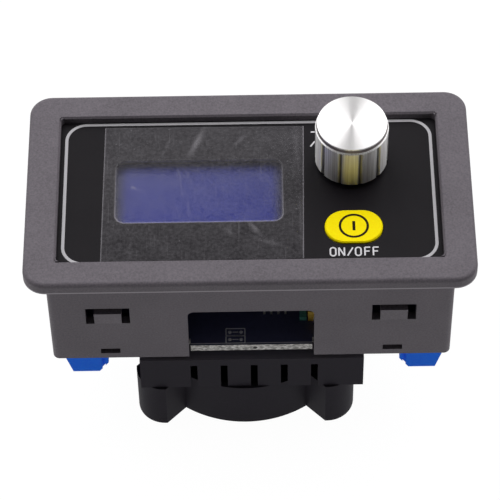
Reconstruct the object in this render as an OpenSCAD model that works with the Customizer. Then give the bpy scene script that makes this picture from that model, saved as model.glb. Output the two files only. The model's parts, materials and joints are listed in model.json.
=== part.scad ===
// Panel-mount DC electronic load. A grey case carries a display, a knob and a key in front;
// a board, a heat sink and a fan stand behind it. The front faces up, the fan's rear face is z = 0.

/* [Bezel] */
// Width of the bezel
bezel_w = 79; // [77:0.5:95]
// Height of the bezel
bezel_h = 43; // [42:0.5:56]
// Thickness of the bezel flange in front of the panel
bezel_t = 2.4; // [2:0.1:4]
// Corner radius of the bezel
bezel_r = 4; // [2:0.5:6]
// Rounding of the bezel's front edge
bezel_edge_r = 0.8; // [0.4:0.1:1.2]
// Width of the recessed field
field_w = 67.6; // [66:0.2:70]
// Height of the recessed field
field_h = 32.4; // [31.6:0.2:36]
// Depth of the overlay below the bezel's front
field_depth = 1.5; // [0.8:0.1:2]
// Corner radius of the recessed field
field_r = 0.8; // [0.3:0.1:2]
// Bevel along the edge of the recessed field
field_bevel = 0.35; // [0.1:0.05:0.6]

/* [Case] */
// Width of the case behind the bezel
case_w = 71.4; // [70.4:0.2:75]
// Height of the case behind the bezel
case_h = 39; // [38:0.2:41]
// Depth of the case behind the bezel
case_depth = 22.2; // [21.6:0.2:30]
// Wall of the case
case_wall = 1.6; // [1.2:0.1:2]
// Corner radius of the case
case_r = 1.2; // [0.8:0.1:2]
// Thickness of the front wall that carries the overlay
face_t = 1.5; // [1:0.1:2]
// How far the case reaches behind the main board
case_skirt = 1.2; // [1:0.1:2]
// Width of the cut-out in the lower wall
notch_w = 22.4; // [16:0.2:26]
// Height of the cut-out above the case's rear edge
notch_h = 13.5; // [8:0.5:13.5]
// Corner radius of the cut-out
notch_r = 1.2; // [0.5:0.1:2]
// Distance of the snap tabs from the middle
tab_x = 25.25; // [23:0.25:27]
// Width of a snap tab
tab_w = 4.8; // [3:0.1:5.5]
// Length of a snap tab
tab_l = 3.25; // [2.5:0.05:4]
// Slot along each side of a snap tab
tab_slot = 1.5; // [0.8:0.1:1.8]
// Gap ahead of a snap tab
tab_gap = 1.2; // [0.8:0.1:1.5]
// Distance of a snap tab's free end from the bezel
tab_from_bezel = 8.45; // [7:0.05:9]
// How far a snap tab's free end stands proud of the wall
tab_proud = 0.35; // [0.1:0.05:0.6]
// Width of the board hooks and their windows
hook_w = 3.5; // [2.5:0.1:4.5]
// How far a board hook reaches under the main board
hook_catch = 0.5; // [0.3:0.05:0.8]

/* [Front] */
// Thickness of the printed overlay
overlay_t = 0.2; // [0.1:0.05:0.4]
// Thickness of the clear protective film
film_t = 0.1; // [0.05:0.01:0.2]
// Width of the protective film
film_w = 35.5; // [33:0.5:37]
// Height of the protective film
film_h = 30.5; // [24:0.5:31]
// Middle of the display across the front
display_x = -8.9; // [-10:0.1:-8]
// Middle of the display up the front
display_y = 0.2; // [-1:0.1:1]
// Width of the display window
window_w = 29.8; // [26:0.2:31]
// Height of the display window
window_h = 14.2; // [12:0.2:16]
// Corner radius of the display window
window_r = 1.8; // [0.5:0.1:2.5]
// Lap of the clear pane beyond the display window
pane_lap = 0.5; // [0.3:0.1:0.8]
// Place of the knob and the key across the front
control_x = 18.3; // [17.6:0.1:19]
// Place of the knob's axis up the front
knob_y = 6.6; // [6:0.1:7.4]
// Place of the key up the front
key_y = -8.5; // [-9:0.1:-8]
// Width of the key
key_w = 10.2; // [9:0.1:11]
// Height of the key
key_h = 7.2; // [6:0.1:7.6]
// How far the key stands proud of the overlay
key_proud = 0.4; // [0.3:0.05:0.8]
// Gap around the key
key_clear = 0.15; // [0.1:0.05:0.3]

/* [Knob] */
// Diameter of the knob
knob_d = 13; // [12:0.2:14]
// Height of the knob
knob_h = 9.6; // [9:0.1:12]
// Diameter of the knob's spun top
knob_top_d = 12.3; // [11:0.1:13]
// Height of the turned step below the knob's top
knob_step_h = 0.9; // [0.5:0.1:1.4]
// Bright bevel below the step
knob_bevel = 0.2; // [0.1:0.05:0.3]
// Number of grip grooves
flute_count = 11; // [6:1:14]
// Radius of a grip groove
flute_r = 0.5; // [0.3:0.05:0.6]
// Gap below the knob
knob_gap = 0.8; // [0.7:0.05:1.5]
// Wall of the knob around its insert
knob_wall = 1.1; // [0.9:0.1:1.5]

/* [Encoder] */
// Height of the encoder's case
encoder_h = 6; // [5.5:0.1:7]
// Side of the encoder's case
encoder_w = 12; // [11:0.2:12.4]
// Diameter of the encoder's shaft
shaft_d = 6; // [5:0.1:6]
// Height of the D shaft across its flat
shaft_flat = 4.5; // [4:0.1:5]
// Diameter of the encoder's bushing
bushing_d = 7; // [6.8:0.1:7.4]
// Length of the encoder's bushing
bushing_l = 4.4; // [3:0.1:4.6]
// Press travel of the knob
knob_travel = 0.5; // [0.3:0.05:0.6]
// Radial clearance of the turning shaft
turn_clear = 0.04; // [0.02:0.01:0.08]

/* [Boards] */
// Thickness of both boards
board_t = 1.6; // [1.2:0.1:2]
// Gap between a board and the case
board_clear = 0.3; // [0.2:0.05:0.5]
// Set-back of the main board's tongue from the wall's outside
tongue_back = 0.4; // [0.2:0.05:1]
// Gap between the main board and the heat sink
board_gap = 2.4; // [2.2:0.1:4]
// Thickness of the display glass
glass_t = 2.2; // [1.6:0.1:2.6]
// Width of the display glass
glass_w = 36; // [34:0.2:36.4]
// Height of the display glass
glass_h = 20; // [18:0.2:22]
// Diameter of the posts under the display board
post_d = 4.4; // [4:0.1:5]
// Diameter of the display board's screws
board_screw_d = 2; // [1.6:0.1:2.4]
// Key switch side
switch_w = 6; // [5:0.1:6.4]
// Key switch case height
switch_h = 3.5; // [3:0.1:3.8]
// Key travel
key_travel = 0.25; // [0.15:0.05:0.3]

/* [Terminals] */
// Height of a terminal block
term_h = 10; // [9.6:0.1:11]
// Pitch of its two poles
term_pitch = 5.08; // [5:0.02:5.2]
// Width of a terminal block across its poles
term_w = 7.75; // [7.6:0.05:8]
// Distance of the load block's inner side from the middle
load_x = 26.1; // [25.6:0.1:26.9]
// Distance of the supply block's inner side from the middle
supply_x = 26.9; // [25.6:0.1:26.9]
// Distance of a terminal block's middle from the case's lower side
term_edge = 8.3; // [7.5:0.1:13]
// Diameter of a clamp screw's head
clamp_head_d = 3.7; // [3.2:0.1:3.7]
// Diameter of a clamp screw's shank
clamp_screw_d = 2.5; // [2:0.1:2.6]
// Travel of a clamp cage
clamp_travel = 1.8; // [1:0.1:1.9]

/* [Heat sink] */
// Width of the heat sink
sink_w = 40.5; // [39:0.5:44]
// Length of the heat sink
sink_l = 39; // [37:0.5:40]
// Height of the heat sink
sink_h = 8.5; // [8:0.5:14]
// Base of the heat sink above its slots
sink_base = 1.8; // [1.5:0.05:4]
// Width of a slot
slot_w = 1.25; // [0.8:0.05:2]
// Pitch of the slots
slot_pitch = 5.46; // [4.6:0.02:5.6]
// Shift of the slots from the middle
slot_shift = 0.42; // [0:0.02:0.6]
// Number of slots
slot_count = 5; // [3:1:5]
// Diameter of the screws in the heat sink and the fan
sink_screw_d = 3; // [2.5:0.1:3]

/* [Fan] */
// Side of the fan
fan_w = 40; // [38:0.5:42]
// Thickness of the fan
fan_t = 11; // [10:0.5:15]
// Place of the fan's axis across the heat sink
fan_x = -1.2; // [-2:0.1:0]
// Spacing of the fan's screws
fan_hole_pitch = 32; // [30:0.5:33]
// Wall of the fan's ring
fan_wall = 1.1; // [0.8:0.1:1.5]
// Width of the arms that carry the fan's screws
fan_arm_w = 7.6; // [6.8:0.1:8.4]
// Rounding of the fan's corners
fan_corner_r = 5; // [3:0.2:6]
// Gap at the tips of the blades
tip_gap = 0.5; // [0.3:0.05:0.8]
// Diameter of the fan's hub
hub_d = 20; // [19:0.2:22]
// Number of blades
blade_count = 7; // [5:1:9]
// Thickness of a blade
blade_t = 0.9; // [0.6:0.05:1.2]
// Lean of the blades from the fan's plane, in degrees
blade_pitch = 41; // [35:1:50]
// Diameter of the fan's shaft
fan_shaft_d = 2; // [1.5:0.1:2.4]
// Diameter of the leads
lead_d = 0.8; // [0.6:0.05:0.9]

/* [Hidden] */
$fn = 64;
cut = 0.02;
root = 0.1;
fit = 0.03;
plastic = [0.42, 0.42, 0.43];
black = [0.13, 0.13, 0.14];
metal = [0.8, 0.8, 0.8];
board_blue = [0.06, 0.08, 0.22];
tin = [0.75, 0.75, 0.72];

// Heights from the rear of the fan to the front
z_sink = fan_t;
z_sink_top = z_sink + sink_h;
z_board = z_sink_top + board_gap;
z_board_top = z_board + board_t;
z_case = z_board - case_skirt;
z_flange = z_case + case_depth;
z_front = z_flange + bezel_t;
z_overlay = z_front - field_depth;
z_face = z_overlay - overlay_t;
z_face_rear = z_face - face_t;
face_gap = 0.1;
z_display_top = z_face_rear - face_gap - encoder_h;
z_display = z_display_top - board_t;

// Case
inner_w = case_w - 2 * case_wall;
inner_h = case_h - 2 * case_wall;
inner_r = 0.6;
rib_w = 1.5;
rib_depth = 1.2;
rib_inset = 5.9;
rib_y = inner_h / 2 - rib_inset;
window_gap = 0.2;
hook_h = 1;
hook_tip = 0.25;
z_tab = z_flange - tab_from_bezel;
pane_w = window_w + 2 * pane_lap;
pane_h = window_h + 2 * pane_lap;
bushing_hole_r = bushing_d / 2 + 0.4;

// Boards
main_w = inner_w - 2 * board_clear;
main_h = inner_h - 2 * board_clear;
tongue_w = notch_w - 2 * board_clear;
tongue_y = -case_h / 2 + tongue_back;
panel_w = inner_w - 2 * rib_depth - 2 * board_clear;
panel_h = inner_h - 4 * board_clear;
board_r = 0.8;
post_edge = 0.6;
post_x = panel_w / 2 - post_d / 2 - post_edge;
post_y = panel_h / 2 - post_d / 2 - post_edge;
board_head_r = board_screw_d * 0.9;
board_head_h = 1.4;
board_screw_l = 4;
strip_h = 2;
z_glass = z_face_rear - 2 * face_gap - glass_t;

// Knob, key and switch
z_knob = z_overlay + knob_gap;
z_knob_top = z_knob + knob_h;
knob_top_t = 1.2;
knob_rim = 0.3;
insert_r = knob_d / 2 - knob_wall;
z_insert_top = z_knob_top - knob_top_t;
z_bushing = z_face_rear - face_gap;
z_bushing_top = z_bushing + bushing_l;
z_socket = z_bushing_top + knob_travel + 0.3;
z_shaft_top = z_insert_top - 0.3;
first_flute = 12.4;
encoder_wall = 0.6;
z_rotor = z_display_top + 1.3;
rotor_h = 2.5;
rotor_r = encoder_w / 2 - encoder_wall - 0.7;
z_shaft = z_display_top + encoder_wall + knob_travel + 0.1;
z_key_top = z_overlay + key_proud;
key_bevel = 0.2;
key_flange = 0.8;
key_flange_t = 0.8;
key_stem_r = 2;
z_key_flange = z_face_rear - 0.05 - key_flange_t;
plunger_r = 1.75;
plunger_proud = 0.7;
z_plunger_top = z_display_top + switch_h + plunger_proud;
plunger_l = 1.5;

// Heat sink fastening
spacer_r = 3;
sink_screw_r = sink_screw_d / 2;
sink_screw_x = sink_w / 2 - 4.2;
sink_head_r = sink_screw_d * 0.92;
sink_head_h = 1.9;
sink_thread_l = 5;
fan_thread_l = 5;
fan_head_r = sink_screw_d * 0.92;
fan_hole_clear = 0.2;

// Fan
fan_r = fan_w / 2;
bore_r = fan_r - fan_wall;
blade_r = bore_r - tip_gap;
hub_r = hub_d / 2;
hub_wall = 0.8;
hub_end_t = 1;
z_hub = 0.6;
hub_back = 2.6;
z_hub_open = fan_t - hub_back;
z_blade = z_hub + 0.3;
z_blade_top = z_hub_open - 0.2;
seat_t = 1.4;
z_seat = fan_t - seat_t;
strut_t = 2;
strut_w = 3;
strut_turn = 209;
tube_wall = 0.6;
bearing_wall = 1.4;
fan_shaft_r = fan_shaft_d / 2;
bearing_r = fan_shaft_r + bearing_wall;
tube_r = bearing_r + tube_wall;
z_tube = z_hub + hub_end_t + 0.9;
magnet_t = 0.8;
magnet_back = 0.2;
magnet_r = hub_r - hub_wall;
air_gap = 0.3;
stator_r = magnet_r - magnet_t - air_gap;
motor_board_t = 0.8;
z_motor_board = z_seat - motor_board_t;
z_stator = z_tube + 0.6;
stator_h = z_motor_board - z_stator - 0.5;
groove_w = 2.1;
groove_d = 1;
lead_r = lead_d / 2;
lead_bend = 0.7;
lead_side = 0.48;
lead_gap = 0.45;
lead_x = -sink_w / 2 - lead_r - lead_gap;
z_groove = fan_t - groove_d + lead_r + 0.05;
lead_drop = 1.2;
lead_slant = 2.4;
lead_end_r = hub_r - 2.9;
lead_dip = 0.9;
lead_sides = 12;
lead_step = 360 / lead_sides;
lead_out = 1.65;
pad_spread = 0.5;

// Terminal blocks: u runs outward from the inner side, h runs rearward from the board
term_y = -case_h / 2 + term_edge;
term_l = 2 * term_pitch;
term_chamfer_u = 1.75;
term_chamfer_h = 2.7;
term_slope_u = 1.15;
term_slope_h = 4.4;
cage_u = 4.1;
cage_y = 3.9;
cage_wall = 0.7;
cage_jaw = 0.8;
cage_gap = 3.2;
cage_nut = 1.2;
cage_h = cage_jaw + cage_gap + cage_nut;
cage_clear = 0.1;
cage_foot = 1.2;
pole_u = (term_chamfer_u + term_w - term_slope_u) / 2;
cavity_u0 = pole_u - cage_u / 2 - cage_clear;
cavity_u1 = pole_u + cage_u / 2 + cage_clear;
cavity_foot = cage_foot - 0.2;
cavity_top = cage_foot + cage_h + clamp_travel + 0.2;
clamp_head_clear = 0.1;
clamp_head_h = 1.1;
clamp_slot_w = 0.6;
clamp_slot_d = 0.6;
contact_t = 0.8;
contact_w = 2.2;
contact_h = cage_foot + cage_jaw + cage_gap - 1;
contact_u = cavity_u0 - contact_t - 0.35;
contact_fit = 0.05;
entry_w = 3;
entry_h = cage_gap - contact_t;
pin_r = 0.5;
pin_clear = 0.15;
pin_proud = 1.2;
pocket_clear = 0.15;
function block_x(side) = side < 0 ? load_x : supply_x;

// Flat outlines
module round_rect(w, h, r) {
    square([w - 2 * r, h], center = true);
    square([w, h - 2 * r], center = true);
    for (x = [-1, 1], y = [-1, 1])
        translate([x * (w / 2 - r), y * (h / 2 - r)])
            circle(r);
}

module stadium(w, h) {
    square([w - h, h], center = true);
    for (x = [-1, 1])
        translate([x * (w - h) / 2, 0])
            circle(h / 2);
}

module stadium_bevel(w, h, t) {
    for (x = [-1, 1])
        translate([x * (w - h) / 2, 0, 0])
            cylinder(r1 = h / 2, r2 = h / 2 - t, h = t);
    rotate([90, 0, 90])
        linear_extrude(w - h, center = true)
            polygon([[-h / 2, 0], [h / 2, 0], [h / 2 - t, t], [-h / 2 + t, t]]);
}

module d_shape(r, flat) {
    intersection() {
        circle(r);
        translate([-2 * r, -r])
            square([4 * r, flat]);
    }
}

module block(size, foot) {
    translate([foot[0] - size[0] / 2, foot[1] - size[1] / 2, foot[2]])
        cube(size);
}

// Places of the repeated fastenings
module at_posts() {
    for (x = [-1, 1], y = [-1, 1])
        translate([x * post_x, y * post_y, 0])
            children();
}

module at_sink_screws() {
    for (x = [-1, 1])
        translate([x * sink_screw_x, 0, 0])
            children();
}

module at_fan_screws() {
    for (x = [-1, 1], y = [-1, 1])
        translate([fan_x + x * fan_hole_pitch / 2, y * fan_hole_pitch / 2, 0])
            children();
}

// Bezel: one rim section carried along the sides and round the corners
module rim_section() {
    square([bezel_r - bezel_edge_r, bezel_t]);
    square([bezel_r, bezel_t - bezel_edge_r]);
    translate([bezel_r - bezel_edge_r, bezel_t - bezel_edge_r])
        circle(bezel_edge_r);
}

module bezel_plate() {
    core_x = bezel_w / 2 - bezel_r;
    core_y = bezel_h / 2 - bezel_r;
    linear_extrude(bezel_t)
        square([2 * core_x, 2 * core_y], center = true);
    for (side = [0, 1, 2, 3]) {
        out = side % 2 == 0 ? core_x : core_y;
        along = side % 2 == 0 ? core_y : core_x;
        rotate([0, 0, 90 * side])
            translate([out, 0, 0])
                rotate([90, 0, 0])
                    linear_extrude(2 * along, center = true)
                        rim_section();
        rotate([0, 0, 90 * side])
            translate([out, along, 0])
                rotate_extrude(angle = 90)
                    rim_section();
    }
}

module field_bevels() {
    for (side = [0, 1, 2, 3]) {
        out = (side % 2 == 0 ? field_w : field_h) / 2;
        along = (side % 2 == 0 ? field_h : field_w) / 2;
        rotate([0, 0, 90 * side])
            translate([out, 0, z_front])
                rotate([90, 0, 0])
                    linear_extrude(2 * along, center = true)
                        polygon([[-cut, cut], [-cut, -field_bevel], [field_bevel, cut]]);
    }
}

// Case details on the lower and upper walls: y_side is -1 for the lower wall
module tab_slots(y_side) {
    outer = tab_w + 2 * tab_slot;
    depth = 3 * case_wall;
    for (x = [-1, 1])
        translate([x * tab_x, y_side * (case_h / 2 - case_wall / 2), z_tab]) {
            translate([-outer / 2, -depth / 2, 0])
                cube([outer, depth, tab_gap]);
            for (s = [-1, 1])
                translate([s * (tab_w + tab_slot) / 2 - tab_slot / 2, -depth / 2, -tab_l])
                    cube([tab_slot, depth, tab_l + cut]);
        }
}

module tab_wedges(y_side) {
    for (x = [-1, 1])
        translate([x * tab_x - tab_w / 2, y_side * case_h / 2, z_tab])
            rotate([90, 0, 90])
                linear_extrude(tab_w)
                    polygon([
                        [-y_side * root, 0], [y_side * tab_proud, 0], [0, -tab_l], [-y_side * root, -tab_l]
                    ]);
}

module hook_windows(y_side) {
    depth = 3 * case_wall;
    for (x = [-1, 1])
        translate([
            x * tab_x - hook_w / 2,
            y_side * (case_h / 2 - case_wall / 2) - depth / 2,
            z_board + window_gap
        ])
            cube([hook_w, depth, board_t - window_gap]);
}

module board_hooks(y_side) {
    reach = board_clear + hook_catch;
    for (x = [-1, 1])
        translate([x * tab_x - hook_w / 2, y_side * inner_h / 2, z_board])
            rotate([90, 0, 90])
                linear_extrude(hook_w)
                    polygon([
                        [y_side * root, 0], [-y_side * reach, 0], [-y_side * reach, -hook_tip],
                        [0, -hook_h], [y_side * root, -hook_h]
                    ]);
}

module board_ribs() {
    for (x = [-1, 1], y = [-1, 1])
        block(
            [rib_depth + root, rib_w, z_face_rear - z_board_top + root],
            [x * (inner_w - rib_depth + root) / 2, y * rib_y, z_board_top]
        );
}

module case_notch() {
    translate([0, -case_h / 2 + case_wall / 2, z_case - cut])
        rotate([90, 0, 0])
            linear_extrude(3 * case_wall, center = true) {
                translate([-notch_w / 2, 0])
                    square([notch_w, notch_h - notch_r]);
                translate([-notch_w / 2 + notch_r, 0])
                    square([notch_w - 2 * notch_r, notch_h + cut]);
                for (x = [-1, 1])
                    translate([x * (notch_w / 2 - notch_r), notch_h - notch_r + cut])
                        circle(notch_r);
            }
}

// Pocket inside the rear edge where a terminal block reaches into the side wall
module terminal_pockets() {
    for (side = [-1, 1]) {
        depth = block_x(side) + term_w + pocket_clear - inner_w / 2;
        if (depth > 0)
            block(
                [depth + root, term_l + 2 * pocket_clear, case_skirt + pocket_clear + cut],
                [side * (inner_w + depth - root) / 2, term_y, z_case - cut]
            );
    }
}

module face_openings() {
    translate([display_x, display_y, z_face_rear - cut])
        linear_extrude(face_t + 2 * cut)
            round_rect(pane_w, pane_h, window_r);
    translate([control_x, knob_y, z_face_rear - cut])
        cylinder(r = bushing_hole_r, h = face_t + 2 * cut);
    translate([control_x, key_y, z_face_rear - cut])
        linear_extrude(face_t + 2 * cut)
            stadium(key_w + 2 * key_clear, key_h + 2 * key_clear);
}

module housing_shell() color(plastic) {
    difference() {
        union() {
            translate([0, 0, z_flange])
                bezel_plate();
            translate([0, 0, z_case])
                linear_extrude(case_depth + cut)
                    round_rect(case_w, case_h, case_r);
        }
        translate([0, 0, z_face])
            linear_extrude(z_front - z_face + cut)
                round_rect(field_w, field_h, field_r);
        field_bevels();
        translate([0, 0, z_case - cut])
            linear_extrude(z_face_rear - z_case + cut)
                round_rect(inner_w, inner_h, inner_r);
        face_openings();
        case_notch();
        terminal_pockets();
        for (y_side = [-1, 1]) {
            tab_slots(y_side);
            hook_windows(y_side);
        }
    }
    for (y_side = [-1, 1]) {
        tab_wedges(y_side);
        board_hooks(y_side);
    }
    board_ribs();
    at_posts()
        difference() {
            translate([0, 0, z_display_top])
                cylinder(d = post_d, h = z_face_rear - z_display_top + root);
            translate([0, 0, z_display_top - cut])
                cylinder(d = board_screw_d + 2 * fit, h = board_screw_l);
        }
}

module front_overlay() color(black)
    translate([0, 0, z_face])
        linear_extrude(overlay_t)
            difference() {
                round_rect(field_w - 4 * fit, field_h - 4 * fit, field_r);
                translate([display_x, display_y])
                    round_rect(window_w, window_h, window_r);
                translate([control_x, knob_y])
                    circle(bushing_hole_r);
                translate([control_x, key_y])
                    stadium(key_w + 2 * key_clear, key_h + 2 * key_clear);
            }

module display_window() color([0.7, 0.75, 0.9, 0.4])
    translate([display_x, display_y, z_face_rear])
        linear_extrude(face_t)
            round_rect(pane_w - 2 * fit, pane_h - 2 * fit, window_r);

module protective_film() color([0.8, 0.8, 0.85, 0.3])
    translate([display_x + 0.75, display_y - 0.25, z_overlay])
        linear_extrude(film_t)
            square([film_w, film_h], center = true);

module lcd_glass() color([0.2, 0.25, 0.6])
    block([glass_w, glass_h, glass_t], [display_x, display_y, z_glass]);

module lcd_backlight() color([0.9, 0.9, 0.95])
    block(
        [glass_w, glass_h - strip_h - 0.4, z_glass - z_display_top],
        [display_x, display_y + strip_h / 2 + 0.2, z_display_top]
    );

module zebra_strip() color([0.2, 0.2, 0.22])
    block(
        [glass_w - 4, strip_h, z_glass - z_display_top],
        [display_x, display_y - glass_h / 2 + strip_h / 2, z_display_top]
    );

module display_board() color(board_blue)
    translate([0, 0, z_display])
        linear_extrude(board_t)
            difference() {
                round_rect(panel_w, panel_h, board_r);
                at_posts()
                    circle(d = board_screw_d + 0.3);
            }

module display_board_screws() color(tin)
    at_posts()
        translate([0, 0, z_display])
            difference() {
                union() {
                    translate([0, 0, -board_head_h])
                        cylinder(r = board_head_r, h = board_head_h);
                    translate([0, 0, -cut])
                        cylinder(d = board_screw_d, h = board_screw_l - 0.4 + board_t);
                }
                for (turn = [0, 90])
                    rotate([0, 0, turn])
                        block([board_head_r * 1.3, 0.4, 0.7], [0, 0, -board_head_h - cut]);
            }

// Encoder, knob, key and its switch
module encoder_body() color(tin)
    translate([control_x, knob_y, z_display_top])
        difference() {
            block([encoder_w, encoder_w, encoder_h], [0, 0, 0]);
            translate([0, 0, encoder_wall])
                cylinder(r = rotor_r + 0.3, h = encoder_h - 2 * encoder_wall);
            translate([0, 0, encoder_h - 2 * encoder_wall])
                cylinder(r = shaft_d / 2 + turn_clear, h = 3 * encoder_wall);
        }

module encoder_bushing() color(tin)
    translate([control_x, knob_y, z_bushing])
        difference() {
            cylinder(d = bushing_d, h = bushing_l);
            translate([0, 0, -cut])
                cylinder(r = shaft_d / 2 + turn_clear, h = bushing_l + 2 * cut);
        }

module encoder_rotor() color(black)
    translate([control_x, knob_y, z_rotor])
        linear_extrude(rotor_h)
            difference() {
                circle(rotor_r);
                d_shape(shaft_d / 2 + turn_clear, shaft_flat + 2 * turn_clear);
            }

module encoder_shaft() color(tin)
    translate([control_x, knob_y, z_shaft])
        linear_extrude(z_shaft_top - z_shaft)
            d_shape(shaft_d / 2, shaft_flat);

module knob_section() {
    body_r = knob_d / 2;
    step = z_knob_top - z_knob - knob_step_h;
    polygon([
        [insert_r, 0], [body_r - knob_rim, 0], [body_r, knob_rim], [body_r, step - knob_bevel],
        [body_r - knob_bevel, step], [knob_top_d / 2, knob_h], [0, knob_h],
        [0, knob_h - knob_top_t], [insert_r, knob_h - knob_top_t]
    ]);
}

module knob() color(metal)
    translate([control_x, knob_y, z_knob])
        difference() {
            rotate_extrude()
                knob_section();
            for (k = [0 : flute_count - 1])
                rotate([0, 0, -90 + first_flute + k * 360 / flute_count])
                    translate([knob_d / 2 + flute_r * 0.25, 0, -cut])
                        cylinder(r = flute_r, h = knob_h - knob_step_h - knob_bevel);
        }

module knob_insert() color(black)
    translate([control_x, knob_y, z_knob + 0.3])
        difference() {
            cylinder(r = insert_r, h = z_insert_top - z_knob - 0.3);
            translate([0, 0, -cut])
                cylinder(r = bushing_d / 2 + 0.3, h = z_socket - z_knob - 0.3);
            translate([0, 0, -cut])
                linear_extrude(z_shaft_top - z_knob - 0.3 + 2 * cut)
                    d_shape(shaft_d / 2 + fit, shaft_flat + 2 * fit);
        }

module on_off_key() color([1, 0.87, 0.05])
    translate([control_x, key_y, 0]) {
        translate([0, 0, z_key_flange])
            linear_extrude(z_key_top - z_key_flange - key_bevel)
                stadium(key_w, key_h);
        translate([0, 0, z_key_top - key_bevel])
            stadium_bevel(key_w, key_h, key_bevel);
        translate([0, 0, z_key_flange])
            linear_extrude(key_flange_t)
                stadium(key_w + 2 * key_flange, key_h + 2 * key_flange);
        translate([0, 0, z_plunger_top])
            cylinder(r = key_stem_r, h = z_key_flange - z_plunger_top + cut);
    }

module key_switch_body() color(black)
    translate([control_x, key_y, z_display_top])
        difference() {
            block([switch_w, switch_w, switch_h], [0, 0, 0]);
            translate([0, 0, switch_h + plunger_proud - plunger_l - key_travel - 0.1])
                cylinder(r = plunger_r + turn_clear, h = plunger_l + key_travel);
        }

module key_switch_plunger() color([0.9, 0.9, 0.88])
    translate([control_x, key_y, z_plunger_top - plunger_l])
        cylinder(r = plunger_r, h = plunger_l);

// Parts on the display board
header_x = -12;
header_y = panel_h / 2 - 5.8;
header_rows = 2;
header_cols = 5;
header_pitch = 2.54;
header_h = 2.4;
header_pin = 0.64;
header_pin_l = 5.5;
header_hole = 0.3;
header_depth = 6;

module header_pins(size, height) {
    for (i = [0 : header_cols - 1], j = [0 : header_rows - 1])
        block(
            [size, size, height],
            [(i - (header_cols - 1) / 2) * header_pitch, (j - (header_rows - 1) / 2) * header_pitch, 0]
        );
}

module board_header() color(black)
    translate([header_x, header_y, z_display - header_h]) {
        block([header_cols * header_pitch, header_rows * header_pitch, header_h], [0, 0, 0]);
        translate([0, 0, -header_pin_l])
            header_pins(header_pin, header_pin_l + cut);
    }

module board_socket() color(black)
    translate([header_x, header_y, z_board_top])
        difference() {
            block(
                [header_cols * header_pitch, header_rows * header_pitch, z_display - header_h - z_board_top],
                [0, 0, 0]
            );
            translate([0, 0, z_display - header_h - z_board_top - header_depth])
                header_pins(header_pin + header_hole, header_depth + cut);
        }

chip_w = 7;
chip_t = 1.4;
chip_x = 4;
chip_y = -2;

module control_chip() color(black)
    translate([chip_x, chip_y, z_display]) {
        translate([0, 0, -chip_t - 0.1])
            block([chip_w, chip_w, chip_t], [0, 0, 0]);
        for (turn = [0, 90, 180, 270], k = [-3.5 : 3.5])
            rotate([0, 0, turn])
                translate([chip_w / 2 - cut, k * 0.8 - 0.15, 0]) {
                    translate([0, 0, -0.9])
                        cube([0.5, 0.3, 0.2]);
                    translate([0.3, 0, -0.9])
                        cube([0.2, 0.3, 0.9]);
                    translate([0.3, 0, -0.15])
                        cube([0.7, 0.3, 0.15]);
                }
    }

// Main board and the parts on it
lead_pads = [for (side = [-1, 1]) [lead_x - lead_out, lead_exit(side)[1] + side * pad_spread]];

module main_board() color(board_blue)
    translate([0, 0, z_board])
        linear_extrude(board_t)
            difference() {
                union() {
                    round_rect(main_w, main_h, board_r);
                    translate([-tongue_w / 2, tongue_y])
                        square([tongue_w, -tongue_y]);
                }
                at_sink_screws()
                    circle(d = sink_screw_d + 0.3);
                for (side = [-1, 1], pole = [-1, 1])
                    translate([
                        side * (block_x(side) + contact_u + contact_t / 2),
                        term_y + pole * term_pitch / 2
                    ])
                        circle(pin_r + pin_clear);
                for (pad = lead_pads)
                    translate(pad)
                        circle(lead_r + 0.1);
            }

transistor_w = 6.6;
transistor_l = 6.1;
pad_t = 0.2;
pad_w = 12;

module power_transistor() color(black) {
    body_h = board_gap - pad_t;
    block([transistor_w, transistor_l, body_h], [0, 0, z_board - body_h]);
    block([transistor_w - 1.2, 1.6, 0.6], [0, transistor_l / 2 + 0.8 - cut, z_board - 0.6]);
    for (x = [-1, 1])
        block([0.8, 2.6, 0.5], [x * 2.28, -transistor_l / 2 - 1.3 + cut, z_board - 0.5]);
}

module thermal_pad() color([0.6, 0.65, 0.7])
    block([pad_w, pad_w, pad_t], [0, 0, z_sink_top]);

module heatsink() color(black)
    difference() {
        block([sink_w, sink_l, sink_h], [0, 0, z_sink]);
        for (k = [0 : slot_count - 1])
            block(
                [slot_w, sink_l + 2, sink_h - sink_base],
                [slot_shift + (k - (slot_count - 1) / 2) * slot_pitch, 0, z_sink - cut]
            );
        at_sink_screws()
            translate([0, 0, z_sink_top - sink_thread_l - 0.5])
                cylinder(r = sink_screw_r + fit, h = sink_thread_l + 1);
        at_fan_screws()
            translate([0, 0, z_sink - cut])
                cylinder(r = sink_screw_r + fit, h = fan_thread_l + 0.5);
    }

module heatsink_spacers() color(tin)
    at_sink_screws()
        translate([0, 0, z_sink_top])
            difference() {
                cylinder(r = spacer_r, h = board_gap);
                translate([0, 0, -cut])
                    cylinder(r = sink_screw_r + 0.15, h = board_gap + 2 * cut);
            }

module heatsink_screws() color(tin)
    at_sink_screws()
        difference() {
            union() {
                translate([0, 0, z_board_top])
                    cylinder(r = sink_head_r, h = sink_head_h);
                translate([0, 0, z_sink_top - sink_thread_l])
                    cylinder(r = sink_screw_r, h = sink_thread_l + board_gap + board_t + cut);
            }
            for (turn = [0, 90])
                rotate([0, 0, turn])
                    block([sink_head_r * 1.3, 0.6, 1.2], [0, 0, z_board_top + sink_head_h - 1]);
        }

shunt_x = -22;
shunt_y = main_h / 2 - 10.6;
shunt_l = 11;
shunt_w = 2.6;
shunt_t = 0.7;
shunt_h = 3.2;

module shunt_resistor() color([0.72, 0.6, 0.45])
    translate([shunt_x, shunt_y - shunt_w / 2, z_board_top])
        rotate([-90, 0, 0])
            linear_extrude(shunt_w)
                difference() {
                    translate([-shunt_l / 2, -shunt_h])
                        square([shunt_l, shunt_h]);
                    translate([-shunt_l / 2 + shunt_t, -shunt_h + shunt_t])
                        square([shunt_l - 2 * shunt_t, shunt_h]);
                }

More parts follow.
